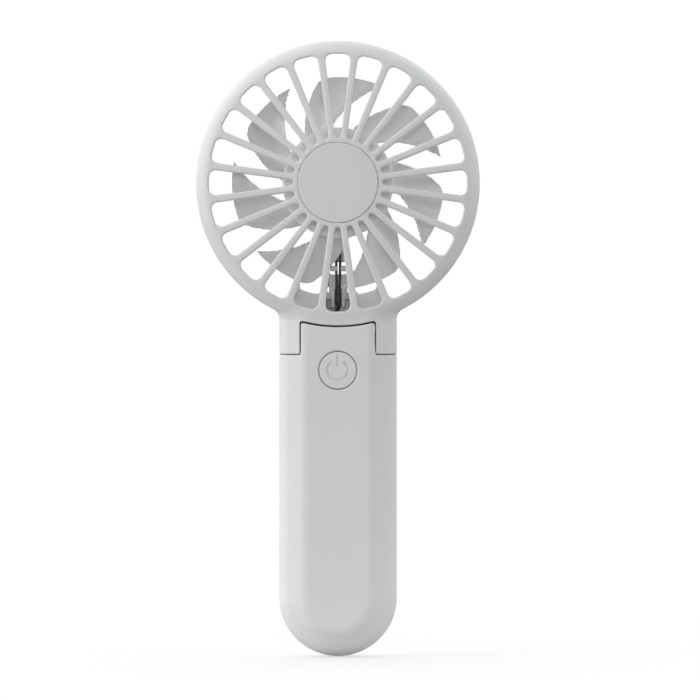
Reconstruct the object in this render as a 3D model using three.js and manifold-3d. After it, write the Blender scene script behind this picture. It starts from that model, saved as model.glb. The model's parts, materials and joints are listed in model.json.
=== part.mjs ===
// Folding handheld fan with a removable 18650 cell, in millimetres.
// +Z runs up the handle to the head, -Y is the side that the air leaves, and the origin is on the
// ground plane under the rounded end of the handle, midway between the head's two crowns.
// Each piece is a closed solid in its own named mesh, and pieces that touch keep a small gap.

import * as THREE from "three";
import { mergeVertices } from "three/addons/utils/BufferGeometryUtils.js";
import Module from "manifold-3d";

const wasm = await Module();
wasm.setup();

// ---- driving dimensions -------------------------------------------------------------------

const GAP = 0.3; // left between pieces that touch on the real fan
const SPLIT = 0.15; // half the gap between a front shell and its rear shell, at y = 0
const WALL = 1.8; // the handle's walls
const BEYOND = 20; // past every surface in Y, for cutters that go right through

const HEAD = {
  z: 173.5, // height of the fan's axis
  r: 52,
  crown: 17, // the grilles' crowns stand this far in front of and behind y = 0
  edgeR: 47.2, // where the dome ends and the rounded rim starts
  rise: 3.6, // height of the dome over its edge
  plate: 2.4, // thickness of the grilles
  innerR: 49.8,
};
const SLOTS = { count: 24, innerR: 16.3, outerR: 47, innerHalf: 1.12, corner: 2.5 };
const FRONT_RIB = { inner: 1.12, outer: 1.35 }; // half widths of a rib at its two ends
const REAR_RIB = { inner: 1.0, outer: 1.1 };
const CAP = { r: 14.6, rear: -15.5 };

const HANDLE = { half: 21.6, front: -13, rear: 12.5, shoulderZ: 110.5 };
// The handle's section as [inset from its outline, y], from the front face round to the rear one.
const SECTION = [
  [9.4, -13],
  [8.4, -12.8],
  [1.6, -8.6],
  [0, -5.6],
  [0, 5.2],
  [0.6, 7.4],
  [3, 10],
  [8.8, 12.5],
];
const INNER_SECTION = [
  [10.6, -11.1],
  [3.4, -6.9],
  [1.9, -4.8],
  [1.9, 4.8],
  [3.4, 7.6],
  [10.2, 10.8],
];

const HINGE = { y: 6, z: 116.5, knuckleR: 6.5, sweepR: 6.85, boreR: 2.9 };
const PIN = { r: 2.6, boreR: 1.75, inner: 9.4, outer: 16.2 };
const FLANGE = { r: 3.6, inner: 15.7, outer: 16.7 }; // round the outer end of each pin
const WASHER = { r: 5.1, seatR: 5.5, inner: 12.9, outer: 13.45 };
const TONGUE = { half: 13.5, topR: HEAD.z - 120.7, neckR: HEAD.z - 121.3, rootZ: 100, frontRear: 1.2 };
const ARM = { inner: 13.9, outer: 19.7, bottomZ: 110.8, wall: 1.5 };
const LEDGE_Z = HINGE.z - HINGE.sweepR;
const NECK = { half: 18.4, wallR: 41.5, wall: 1.6, floorZ: 125, top: 134, roomFront: -3.6 };
// How far back the front slots reach: the middle slot over the neck opens on the leads, and the one
// on each side of it ends on a floor.
const SLOT_REAR = { plain: -9, besideMiddle: -5, middle: 9.6 };

const IMPELLER = { hubR: 20.3, tipR: 38.9, blades: 7, front: -9.2, rear: 5.4, phase: 40.5 };
const HUB = { wall: 1.5, floor: 1.6, postR: 3.2, postRear: -1.4, boreR: 1.3 };
const MOTOR = { r: 12.2, front: 0.6, rear: 12.6, wall: 0.7, shaftR: 1, bearingR: 2.6 };
const CUP = { r: 12.6, wall: 1.6, front: 3, rear: 15 };
const MAGNET = { inner: 9.4, outer: 11.1, front: 2.6, rear: 9.4 };
const LEAD_R = 0.48;

const BUTTON = { z: 104.9, r: 6.8, holeR: 7.1, flangeR: 8, flangeFront: -10.8, flangeRear: -9.9 };
const BUTTON_POST = { r: 1.6, rear: -8.2 };
const MARK = { depth: 0.25, inner: 3.4, outer: 4.3, gapAngle: 0.62 };
const MARK_BAR = { half: 0.45, from: 1.6, to: 5 };
const PLUNGER = { r: 1.65, front: -7.9, rear: -5.9 };
const SWITCH = { half: 3, front: -6.9, rear: -3.8, boreR: 2, boreRear: -5.2 };
const CELL = { y: 1.2, r: 9.2, bottom: 15.6, top: 80.8 };
const CRADLE = { half: 10.9, bottom: 11, top: 84.4, front: -10.5, rear: 4 };
const TROUGH = { r: 9.6, bottom: 12.8, top: 82.2 };
const SPRING = { turns: 3.5, bottom: 13.4, top: 14.9, lowerR: 5.2, upperR: 2.2, wireR: 0.28 };
const COVER = { half: 11.2, thickness: 1.6, top: 84.2, corner: 2 };
const GRIP = { count: 5, half: 5.5, step: 0.5, z: 24, pitch: 2, width: 0.9, depth: 0.45 };
const OPENING_GAP = 0.35;
const BOARD = { y: -3.5, thickness: 1, bottom: 90.5, shoulder: 104, top: 111.5, half: 16, tab: 10.3 };
const USB = { z: 96, height: 7.5, depth: 2.6, y: -2.3, inner: 13, mouth: 20.2 };
const LED = { y: -1.2, z: 103.5, r: 0.9 };
const SCREW = { headR: 2.1, headH: 1.4, shankR: 0.95, holeR: 1.25, boreR: 2.5, bossR: 2.6, towerR: 3.3 };
const HANDLE_SCREWS = [
  ["lower_left", -15.2, 27],
  ["lower_right", 15.2, 27],
  ["upper_left", -15.2, 86.3],
  ["upper_right", 15.2, 86.3],
];
const HEAD_SCREWS = [
  ["left", -12, 130.2],
  ["right", 12, 130.2],
];

// ---- solids -------------------------------------------------------------------------------

// A manifold-3d solid from a closed geometry, turned face out.
function solid(geometry) {
  const bare = geometry.index ? geometry.toNonIndexed() : geometry.clone();
  bare.deleteAttribute("normal");
  bare.deleteAttribute("uv");
  const merged = mergeVertices(bare, 1e-4);
  const vertProperties = merged.attributes.position.array;
  const triVerts = new Uint32Array(merged.index.array);
  const made = new wasm.Manifold(new wasm.Mesh({ numProp: 3, vertProperties, triVerts }));
  if (made.volume() >= 0) return made;
  const turned = triVerts.slice();
  for (let i = 0; i < turned.length; i += 3) {
    turned[i + 1] = triVerts[i + 2];
    turned[i + 2] = triVerts[i + 1];
  }
  return new wasm.Manifold(new wasm.Mesh({ numProp: 3, vertProperties, triVerts: turned }));
}

function geometryOf(made) {
  const mesh = made.getMesh();
  return new THREE.BufferGeometry()
    .setAttribute("position", new THREE.BufferAttribute(mesh.vertProperties, 3))
    .setIndex(new THREE.BufferAttribute(mesh.triVerts, 1));
}

const join = (first, ...rest) => rest.reduce((a, b) => a.add(b), first);
const cut = (first, ...rest) => rest.reduce((a, b) => a.subtract(b), first);

// The two ends of a stretch from a to b, on the side of x = 0 that side says, lower one first.
const span = (side, a, b) => (side > 0 ? [a, b] : [-b, -a]);

function box(x0, x1, y0, y1, z0, z1) {
  const geometry = new THREE.BoxGeometry(x1 - x0, y1 - y0, z1 - z0);
  return solid(geometry.translate((x0 + x1) / 2, (y0 + y1) / 2, (z0 + z1) / 2));
}

// Cylinders along Y through (x, z), and along X through (y, z).
function rodY(r, y0, y1, x, z, sides = 24) {
  return solid(new THREE.CylinderGeometry(r, r, y1 - y0, sides).translate(x, (y0 + y1) / 2, z));
}

function rodX(r, x0, x1, y, z, sides = 32) {
  const geometry = new THREE.CylinderGeometry(r, r, x1 - x0, sides).rotateZ(-Math.PI / 2);
  return solid(geometry.translate((x0 + x1) / 2, y, z));
}

// A profile of [radius, y] turned about the line through (x, z) along Y.
function turned(profile, sides, x = 0, z = HEAD.z) {
  const points = profile.map(([r, y]) => new THREE.Vector2(r, y));
  return solid(new THREE.LatheGeometry(points, sides).translate(x, 0, z));
}

// A ring of [radius, y] corners, closed on itself.
const turnedRing = (profile, sides, x, z) => turned([...profile, profile[0]], sides, x, z);

// A plain ring between two radii and two places along the axis.
const sleeve = (inner, outer, front, rear, sides) =>
  turnedRing([[inner, front], [outer, front], [outer, rear], [inner, rear]], sides);

// A profile of [radius, z] turned about the line through (x, y) along Z.
function turnedZ(profile, sides, x, y) {
  const points = profile.map(([r, z]) => new THREE.Vector2(r, z));
  return solid(new THREE.LatheGeometry(points, sides).rotateX(Math.PI / 2).translate(x, y, 0));
}

// A flat shape in (x, z) extruded along Y.
function prismY(shape, y0, y1, curveSegments = 6) {
  const options = { depth: y1 - y0, bevelEnabled: false, curveSegments };
  const geometry = new THREE.ExtrudeGeometry(shape, options);
  return solid(geometry.rotateX(Math.PI / 2).translate(0, y1, 0));
}

const polygon = (points) => new THREE.Shape(points.map(([a, b]) => new THREE.Vector2(a, b)));

// A closed body through rings of points that match one to one.
function loft(rings) {
  const n = rings[0].length;
  const position = rings.flat().flatMap((p) => [p.x, p.y, p.z]);
  const index = [];
  for (let k = 0; k + 1 < rings.length; k++)
    for (let i = 0; i < n; i++) {
      const [a, b] = [k * n + i, k * n + ((i + 1) % n)];
      index.push(a, b, b + n, a, b + n, a + n);
    }
  for (const [k, flip] of [
    [0, false],
    [rings.length - 1, true],
  ]) {
    const flat = rings[k].map((p) => new THREE.Vector2(p.x, p.z));
    for (const [a, b, c] of THREE.ShapeUtils.triangulateShape(flat, []))
      index.push(...(flip ? [a, c, b] : [a, b, c]).map((v) => v + k * n));
  }
  const geometry = new THREE.BufferGeometry().setIndex(index);
  return solid(geometry.setAttribute("position", new THREE.Float32BufferAttribute(position, 3)));
}

// The handle's body: a long outline with a round lower end, whose section is [inset, y].
function pill(section, topZ, steps = 14) {
  const rings = section.map(([inset, y]) => {
    const r = HANDLE.half - inset;
    const ring = [new THREE.Vector3(r, y, topZ)];
    for (let i = 0; i <= steps; i++) {
      const a = (Math.PI * i) / steps;
      ring.push(new THREE.Vector3(r * Math.cos(a), y, HANDLE.half - r * Math.sin(a)));
    }
    ring.push(new THREE.Vector3(-r, y, topZ));
    return ring;
  });
  return loft(rings);
}

// A wire or lead: a round section along a smooth curve through points.
function wire(points, r = LEAD_R, steps = 16) {
  const section = new THREE.Shape().absarc(0, 0, r, 0, 2 * Math.PI);
  const corners = points.map((p) => new THREE.Vector3(...p));
  const extrudePath = new THREE.CatmullRomCurve3(corners, false, "centripetal");
  return solid(new THREE.ExtrudeGeometry(section, { steps, curveSegments: 3, extrudePath }));
}

const everything = 300;
const frontHalf = box(-everything, everything, -everything, -SPLIT, -everything, everything);
const rearHalf = box(-everything, everything, SPLIT, everything, -everything, everything);

// ---- screws -------------------------------------------------------------------------------

// A pan head screw with a cross recess, its head at headY facing the rear.
function screw(x, z, headY, tipY) {
  const { headR, headH, shankR } = SCREW;
  const top = headY + headH;
  const body = turned(
    [
      [0, tipY],
      [shankR, tipY + 1.2],
      [shankR, headY],
      [headR, headY],
      [headR, headY + 0.7 * headH],
      [0.7 * headR, top],
      [0, top],
    ],
    12,
    x,
    z,
  );
  const [arm, width, depth] = [1.2, 0.28, 0.8];
  return cut(
    body,
    box(x - arm, x + arm, top - depth, top + 1, z - width, z + width),
    box(x - width, x + width, top - depth, top + 1, z - arm, z + arm),
  );
}

const HEAD_SEAT_Y = 5.4;
const BOSS_END_Y = -SPLIT;

// What a rear shell gains and loses for one screw: a tower, with a bore for the head and a hole.
const tower = (x, z, rearY) => rodY(SCREW.towerR, SPLIT, rearY, x, z, 14);
const towerBore = (x, z) =>
  join(rodY(SCREW.boreR, HEAD_SEAT_Y, 20, x, z, 16), rodY(SCREW.holeR, -1, HEAD_SEAT_Y + 0.1, x, z, 8));
const boss = (x, z, frontY) => rodY(SCREW.bossR, frontY, BOSS_END_Y, x, z, 12);
const pilot = (x, z, frontY) => rodY(SCREW.holeR, frontY + 1.5, 1, x, z, 8);
const HANDLE_SCREW_TIP_Y = -7.2;
const HEAD_SCREW_TIP_Y = -3.4;

// ---- the handle ---------------------------------------------------------------------------

// The tongue between the head's two arms, as a (y, z) profile: a front block, whose top follows
// the head's circle, and the knuckle that the hinge pins turn in.
function tongueBody() {
  const front = cut(
    box(-TONGUE.half, TONGUE.half, HANDLE.front, TONGUE.frontRear, TONGUE.rootZ, 124),
    rodY(TONGUE.topR, -BEYOND, BEYOND, 0, HEAD.z, 96),
  );
  const knuckle = rodX(HINGE.knuckleR, -TONGUE.half, TONGUE.half, HINGE.y, HINGE.z);
  const root = box(-TONGUE.half, TONGUE.half, 1, HINGE.y, TONGUE.rootZ, HINGE.z);
  return join(front, knuckle, root);
}

// What the turning head takes from the handle's rear upper edge, or its wall's inside.
function shoulderCut(offset) {
  const sweep = rodX(HINGE.sweepR + offset, -30, 30, HINGE.y, HINGE.z);
  return join(sweep, box(-30, 30, HINGE.y, BEYOND, LEDGE_Z - offset, 130));
}

function handleSkin() {
  const outer = join(cut(pill(SECTION, HANDLE.shoulderZ), shoulderCut(0)), tongueBody());
  const inTongue = TONGUE.half - ARM.wall;
  const cavity = join(
    cut(pill(INNER_SECTION, HANDLE.shoulderZ - 1.7), shoulderCut(WALL)),
    box(-inTongue, inTongue, -11.1, 2.6, 98, 119),
    rodX(HINGE.knuckleR - 1.6, -inTongue, inTongue, HINGE.y, HINGE.z),
    rodX(HINGE.boreR, -20, 20, HINGE.y, HINGE.z),
  );
  const washerSeats = [-1, 1].map((side) =>
    rodX(WASHER.seatR, ...span(side, TONGUE.half - 0.9, TONGUE.half + 1), HINGE.y, HINGE.z, 20),
  );
  return cut(outer, cavity, ...washerSeats);
}

const usbMouth = () => {
  const [room, half] = [0.4, USB.height / 2 + 0.4];
  return box(18.5, 23, USB.y - room, USB.y + USB.depth + room, USB.z - half, USB.z + half);
};
const ledHole = () => rodX(LED.r + GAP, 18, 23, LED.y, LED.z, 16);

const HANDLE_BOSS_Y = -9;

function handleFrontShell(skin) {
  const bosses = HANDLE_SCREWS.map(([, x, z]) => boss(x, z, HANDLE_BOSS_Y));
  const pilots = HANDLE_SCREWS.map(([, x, z]) => pilot(x, z, HANDLE_BOSS_Y));
  const button = rodY(BUTTON.holeR, -BEYOND, -9, 0, BUTTON.z, 28);
  return cut(join(skin.intersect(frontHalf), ...bosses), ...pilots, button, usbMouth(), ledHole());
}

// The cover's outline: straight sides, a lower end concentric with the handle's, round upper corners.
function coverShape(half, top, corner) {
  const shape = new THREE.Shape();
  shape.absarc(0, HANDLE.half, half, Math.PI, 2 * Math.PI);
  shape.lineTo(half, top - corner);
  shape.absarc(half - corner, top - corner, corner, 0, Math.PI / 2);
  shape.absarc(corner - half, top - corner, corner, Math.PI / 2, Math.PI);
  return shape;
}

function handleRearShell(skin) {
  const towers = HANDLE_SCREWS.map(([, x, z]) => tower(x, z, 11).intersect(pill(SECTION, 108)));
  const bores = HANDLE_SCREWS.map(([, x, z]) => towerBore(x, z));
  const [half, top, corner] = [COVER.half, COVER.top, COVER.corner].map((v) => v + OPENING_GAP);
  const opening = prismY(coverShape(half, top, corner), 5, BEYOND, 9);
  return cut(join(skin.intersect(rearHalf), ...towers), ...bores, opening, usbMouth(), ledHole());
}

function batteryCover() {
  const rear = HANDLE.rear;
  const plate = prismY(coverShape(COVER.half, COVER.top, COVER.corner), rear - COVER.thickness, rear, 9);
  const ribs = [-1, 1].map((side) =>
    box(...span(side, COVER.half - 2, COVER.half - 1.1), rear - 3, rear - COVER.thickness + 0.2, 34, 76),
  );
  const grips = Array.from({ length: GRIP.count }, (_, i) => {
    const [half, z] = [GRIP.half - GRIP.step * i, GRIP.z - GRIP.pitch * i];
    return box(-half, half, rear - GRIP.depth, rear + 1, z, z + GRIP.width);
  });
  const nailSlot = box(-4, 4, rear - 0.8, rear + 1, COVER.top - 1.3, COVER.top + 1);
  return cut(join(plate, ...ribs), ...grips, nailSlot);
}

function powerButton() {
  const front = HANDLE.front;
  const cap = turned(
    [
      [0, front],
      [BUTTON.r - 0.5, front],
      [BUTTON.r, front + 0.4],
      [BUTTON.r, BUTTON.flangeFront],
      [BUTTON.flangeR, BUTTON.flangeFront],
      [BUTTON.flangeR, BUTTON.flangeRear],
      [BUTTON_POST.r, BUTTON.flangeRear],
      [BUTTON_POST.r, BUTTON_POST.rear],
      [0, BUTTON_POST.rear],
    ],
    28,
    0,
    BUTTON.z,
  );
  return cut(cap, ...powerMark());
}

// The standby mark, an open ring and a bar, as cutters.
function powerMark() {
  const [y0, y1] = [HANDLE.front - 1, HANDLE.front + MARK.depth];
  const ring = new THREE.Shape();
  const top = Math.PI / 2;
  const [start, end] = [top + MARK.gapAngle, top - MARK.gapAngle + 2 * Math.PI];
  ring.absarc(0, BUTTON.z, MARK.outer, start, end);
  ring.absarc(0, BUTTON.z, MARK.inner, end, start, true);
  const { half, from, to } = MARK_BAR;
  const bar = box(-half, half, y0, y1, BUTTON.z + from, BUTTON.z + to);
  return [prismY(ring, y0, y1, 6), bar];
}

const switchPlunger = () => rodY(PLUNGER.r, PLUNGER.front, PLUNGER.rear, 0, BUTTON.z, 20);

function tactSwitch() {
  const { half, front, rear, boreR, boreRear } = SWITCH;
  const body = box(-half, half, front, rear, BUTTON.z - half, BUTTON.z + half);
  return cut(body, rodY(boreR, front - 1, boreRear, 0, BUTTON.z, 20));
}

function controlBoard() {
  const { half, tab, bottom, shoulder, top } = BOARD;
  const outline = polygon([
    [-half, bottom],
    [half, bottom],
    [half, shoulder],
    [tab, shoulder],
    [tab, top],
    [-tab, top],
    [-tab, shoulder],
    [-half, shoulder],
  ]);
  return prismY(outline, BOARD.y, BOARD.y + BOARD.thickness);
}

function usbPort() {
  const { z, height, depth, y, inner, mouth } = USB;
  const [half, wall] = [height / 2, 0.35];
  const shell = box(inner, mouth, y, y + depth, z - half, z + half);
  const halfIn = half - wall;
  const hollow = box(inner + 1.2, mouth + 1, y + wall, y + depth - wall, z - halfIn, z + halfIn);
  const tongue = box(inner + 1, mouth - 1, y + 1.6, y + 2, z - 2.4, z + 2.4);
  return join(cut(shell, hollow), tongue);
}

const chargeLightPipe = () => rodX(LED.r, 17.2, HANDLE.half - 0.1, LED.y, LED.z, 16);
const chargeChip = () => box(-6.5, -1.5, -2.2, -0.9, 94.5, 98.5);
const boostCoil = () => box(2.5, 7.5, -2.2, 0.4, 94, 99);

function leadSocket() {
  const body = box(-14, -8, -2.2, 1.4, 97.6, 102.4);
  return cut(body, box(-13.2, -8.8, -1.6, 0.8, 99.2, 103));
}

// ---- the cell and what holds it -----------------------------------------------------------

const GROOVE = { from: 4.6, to: 3.4, depth: 0.45 }; // below the cell's top

// The rolled groove and rounded rim near the top of an 18650 can, as [radius, z] at radius r.
function cellSide(r, top) {
  return [
    [r, top - GROOVE.from],
    [r - GROOVE.depth, (top - GROOVE.from + top - GROOVE.to) / 2],
    [r, top - GROOVE.to],
    [r, top - 0.7],
    [r - 0.6, top],
  ];
}

function cellCan() {
  const [bottom, top] = [CELL.bottom + 0.2, CELL.top - 0.25];
  const r = CELL.r - 0.35;
  const base = [[0, bottom], [r - 0.6, bottom], [r, bottom + 0.6]];
  const mouth = [[5.6, top], [5.6, top - 1], [0, top - 1]];
  return turnedZ([...base, ...cellSide(r, top), ...mouth], 20, 0, CELL.y);
}

// The plain plastic sleeve, shrunk over the can and just over its two ends.
function cellWrapper() {
  const { r, bottom, top } = CELL;
  const inner = r - 0.2;
  const outside = [[7.4, bottom], [r - 0.5, bottom], [r, bottom + 0.5], ...cellSide(r, top), [6.6, top]];
  const foot = [[inner, bottom + 0.6], [inner - 0.5, bottom + 0.1], [7.4, bottom + 0.1]];
  const inside = [[6.6, top - 0.1], ...cellSide(inner, top - 0.12).reverse(), ...foot];
  const profile = [...outside, ...inside];
  return turnedZ([...profile, profile[0]], 20, 0, CELL.y);
}

function cellInsulatorRing() {
  const [bottom, top] = [CELL.top - 1.1, CELL.top - 0.3];
  const profile = [[4.5, bottom], [5.3, bottom], [5.3, top], [4.5, top], [4.5, bottom]];
  return turnedZ(profile, 16, 0, CELL.y);
}

function cellPositiveCap() {
  const { top } = CELL;
  const profile = [[0, top - 1.1], [4.2, top - 1.1], [4.2, top - 0.5], [3, top], [0, top]];
  return turnedZ(profile, 16, 0, CELL.y);
}

function batteryCradle() {
  const { half, bottom, top, front, rear } = CRADLE;
  const chamfered = pill([[10.8, front], [5, -6.5], [5, 5]], 90);
  const block = box(-half, half, front, rear, bottom, top).intersect(chamfered);
  const [r, length, middle] = [TROUGH.r, TROUGH.top - TROUGH.bottom, (TROUGH.top + TROUGH.bottom) / 2];
  const bed = new THREE.CylinderGeometry(r, r, length, 32).rotateX(Math.PI / 2);
  const trough = solid(bed.translate(0, CELL.y, middle));
  const mouth = box(-r, r, CELL.y, BEYOND, TROUGH.bottom, TROUGH.top);
  const fingerCut = box(-half - 1, half + 1, -1.5, BEYOND, 40, 58);
  const leadNotch = box(-3.2, 0.5, -9, -4.6, 80, 90);
  return cut(block, trough, mouth, fingerCut, leadNotch);
}

// A conical coil spring with flat ends, pressing on the cell's lower end.
function contactSpring() {
  const { turns, bottom, top, lowerR, upperR, wireR } = SPRING;
  const points = Array.from({ length: 29 }, (_, i) => {
    const t = i / 28;
    const [a, r] = [2 * Math.PI * turns * t, lowerR + (upperR - lowerR) * t];
    return [r * Math.cos(a), CELL.y + r * Math.sin(a), bottom + (top - bottom) * t];
  });
  return wire(points, wireR, 30);
}

const contactPlate = () => {
  const [bottom, top] = [81.4, 81.8];
  return join(box(-4.5, 4.5, -3.5, 6, bottom, top), box(-1.5, 1.5, -5.5, -3.4, bottom, top));
};

// ---- the hinge ----------------------------------------------------------------------------

// A hollow pin, pressed into its arm by the flange, which the leads pass through.
function hingePin(side) {
  const { y, z } = HINGE;
  const shank = rodX(PIN.r, ...span(side, PIN.inner, PIN.outer), y, z, 20);
  const flange = rodX(FLANGE.r, ...span(side, FLANGE.inner, FLANGE.outer), y, z, 20);
  return cut(join(shank, flange), rodX(PIN.boreR, ...span(side, 8, 20), y, z, 20));
}

function frictionWasher(side) {
  const [a, b] = span(side, WASHER.inner, WASHER.outer);
  const disc = rodX(WASHER.r, a, b, HINGE.y, HINGE.z, 20);
  return cut(disc, rodX(HINGE.boreR, a - 1, b + 1, HINGE.y, HINGE.z, 20));
}

// ---- the head -----------------------------------------------------------------------------

const dome = (r) => HEAD.crown - HEAD.rise * (r / HEAD.edgeR) ** 2;
const DOME_STEPS = [16, 33, HEAD.edgeR];
const RIM = [
  [49.4, 12.5],
  [51.2, 10.3],
  [52, 7],
];
const HEAD_SIDES = 48;

function headOuter() {
  const side = [...DOME_STEPS.map((r) => [r, dome(r)]), ...RIM];
  const front = [[0, -HEAD.crown], ...side.map(([r, y]) => [r, -y])];
  const rear = front.map(([r, y]) => [r, -y]).reverse();
  return turned([...front, ...rear], HEAD_SIDES);
}

function headHollow() {
  const inner = (r) => dome(r) - HEAD.plate;
  const front = [[0, -inner(0)], [33, -inner(33)], [47, -10.6], [49, -9.6], [HEAD.innerR, -7.5]];
  const rear = front.map(([r, y]) => [r, -y]).reverse();
  return turned([...front, ...rear], HEAD_SIDES);
}

// The neck and its two arms, before the head's ring is joined on.
function neckBody() {
  const column = pill(SECTION, 130);
  const blank = column.intersect(box(-30, 30, -BEYOND, BEYOND, ARM.bottomZ, 131));
  const knuckle = rodX(HINGE.knuckleR, -31, 31, HINGE.y, HINGE.z);
  const underAxis = cut(box(-30, 30, HINGE.y - 3.2, BEYOND, 100, HINGE.z), knuckle);
  return join(cut(blank, underAxis), column.intersect(knuckle));
}

// The space that the tongue and its knuckle take between the arms.
function tongueRoom() {
  const half = ARM.inner;
  const { sweepR, y, z } = HINGE;
  const block = box(-half, half, -BEYOND, TONGUE.frontRear + 0.2, TONGUE.rootZ, 124);
  const front = cut(block, rodY(TONGUE.neckR, -21, 21, 0, HEAD.z, 96));
  const rear = box(-half, half, TONGUE.frontRear, BEYOND, TONGUE.rootZ, 119.6);
  return join(front, rodX(sweepR, -half, half, y, z), rear);
}

// The hollow of the neck and of the arms, which the leads run through.
function neckHollow() {
  const half = NECK.half - 1.7;
  const { y, z } = HINGE;
  const inArm = ARM.inner + ARM.wall;
  const room = cut(
    box(-half, half, NECK.roomFront, 10.6, NECK.floorZ, NECK.top + 4),
    rodY(NECK.wallR + NECK.wall, -BEYOND, BEYOND, 0, HEAD.z, 72),
  );
  const arms = [-1, 1].flatMap((side) => {
    const [a, b] = span(side, inArm, ARM.outer);
    return [box(a, b, -6, 10.4, z, 127.5), rodX(4.6, a, b, y, z, 32)];
  });
  const seats = [-1, 1].map((side) => rodX(FLANGE.r + GAP, ...span(side, inArm, 17), y, z, 20));
  const rooms = join(room, ...arms).intersect(pill(INNER_SECTION, 140));
  return join(rooms, ...seats, rodX(HINGE.boreR, -16, 16, y, z));
}

function headSkin() {
  const block = cut(
    box(-NECK.half, NECK.half, -16, 16, 112, NECK.top + 6),
    rodY(NECK.wallR, -BEYOND, BEYOND, 0, HEAD.z, 72),
  );
  const hollow = cut(headHollow(), block);
  return cut(join(headOuter(), neckBody()), hollow, neckHollow(), tongueRoom());
}

// One air slot about the head's axis, pointing up: a round inner end, sides that follow the ribs,
// and an outer end that follows the rim with round corners.
function slotShape(rib, outerR) {
  const half = Math.PI / SLOTS.count;
  const [s0, s1] = [SLOTS.innerR + SLOTS.innerHalf, outerR - SLOTS.corner];
  const t0 = SLOTS.innerHalf + (FRONT_RIB.inner - rib.inner);
  const t1 = s1 * Math.tan(half) - rib.outer;
  const { corner } = SLOTS;
  const right = [
    [0.72 * t0, s0 - 0.72 * SLOTS.innerHalf],
    [t0, s0],
    [t1, s1],
    [t1 - 0.23 * corner, s1 + 0.66 * corner],
    [t1 - 0.82 * corner, outerR - 0.07 * corner],
  ];
  const left = right.map(([x, z]) => [-x, z]).reverse();
  return polygon([[0, SLOTS.innerR], ...right, [0, outerR], ...left]);
}

// The cutter of slot i, counted from the top, between two places along the axis.
function slotCutter(i, rib, y0, y1, outerR) {
  const shape = slotShape(rib, outerR);
  const geometry = new THREE.ExtrudeGeometry(shape, { depth: y1 - y0, bevelEnabled: false });
  geometry.rotateX(Math.PI / 2).translate(0, y1, 0);
  return solid(geometry.rotateY((2 * Math.PI * i) / SLOTS.count).translate(0, 0, HEAD.z));
}

const slotNumbers = Array.from({ length: SLOTS.count }, (_, i) => i);
const fromMiddle = (i) => Math.abs(i - SLOTS.count / 2);

function frontGrille(skin) {
  const seat = rodY(CAP.r + GAP, -BEYOND, CAP.rear + GAP, 0, HEAD.z, 40);
  const bosses = HEAD_SCREWS.map(([, x, z]) => boss(x, z, SLOT_REAR.besideMiddle + 0.6));
  const pilots = HEAD_SCREWS.map(([, x, z]) => pilot(x, z, SLOT_REAR.besideMiddle - 0.3));
  const shell = cut(join(skin.intersect(frontHalf), ...bosses), ...pilots, seat);
  const slots = slotNumbers.map((i) => {
    const rear = [SLOT_REAR.middle, SLOT_REAR.besideMiddle][fromMiddle(i)] ?? SLOT_REAR.plain;
    return slotCutter(i, FRONT_RIB, -19, rear, SLOTS.outerR);
  });
  return cut(shell, ...slots);
}

function hubCap() {
  const { r, rear } = CAP;
  const front = -HEAD.crown;
  return turned([[0, front], [r - 0.4, front], [r, front + 0.3], [r, rear], [0, rear]], 40);
}

const ARM_RIB = { half: 3.4, y0: 11.4, y1: 13.2, bottom: 131 };
const WINDOW = { half: 2.95, bottom: 140, top: 144.4 };
const CHANNEL = { inner: 1.35, outer: 2.6, bottom: 127.5, top: 134.5 };
const CLIP = { inner: 0.35, legInner: 2.9, outer: 3.4, bottom: 140.8, top: 143.4, front: 9.2, rear: 9.8 };

// The motor's seat, the wide lower rib that carries the leads, its window, and the lead channel.
function rearGrille(skin) {
  const cup = sleeve(CUP.r, CUP.r + CUP.wall, CUP.front, CUP.rear, 28);
  const rib = box(-ARM_RIB.half, ARM_RIB.half, ARM_RIB.y0, ARM_RIB.y1, ARM_RIB.bottom, HEAD.z - 14);
  const walls = [-1, 1].map((side) =>
    box(...span(side, CHANNEL.inner, CHANNEL.outer), 8.4, 12, CHANNEL.bottom, CHANNEL.top),
  );
  const towers = HEAD_SCREWS.map(([, x, z]) => tower(x, z, 13).intersect(headOuter()));
  const bores = HEAD_SCREWS.map(([, x, z]) => towerBore(x, z));
  const slots = slotNumbers.map((i) =>
    slotCutter(i, REAR_RIB, 9, 19, fromMiddle(i) <= 1 ? NECK.wallR + 0.2 : SLOTS.outerR),
  );
  const pocket = slotCutter(SLOTS.count / 2, FRONT_RIB, -1, SLOT_REAR.middle, SLOTS.outerR);
  const bare = cut(skin.intersect(rearHalf), pocket, ...slots);
  const window = box(-WINDOW.half, WINDOW.half, 10.5, 19, WINDOW.bottom, WINDOW.top);
  const leadGate = box(-1.2, 1.2, 9, 11.2, 128, 134);
  const cupGate = box(-1.6, 1.6, 8.6, 14.2, HEAD.z - 19, HEAD.z - 11);
  const ribbed = cut(join(bare, rib.intersect(headOuter())), window);
  const clips = [-1, 1].map(leadClip);
  return cut(join(ribbed, cup, ...walls, ...clips, ...towers), ...bores, leadGate, cupGate);
}

// A tab over one of the two leads, on a leg beside the window.
function leadClip(side) {
  const { inner, outer, legInner, bottom, top, front, rear } = CLIP;
  const tab = box(...span(side, inner, outer), front, rear, bottom, top);
  return join(tab, box(...span(side, legInner, outer), front, 12, bottom, top));
}

// ---- impeller and motor -------------------------------------------------------------------

const BLADE = { root: 19.6, rootThick: 1.5, tipThick: 0.9, chordSteps: 5, spanSteps: 3 };

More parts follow.
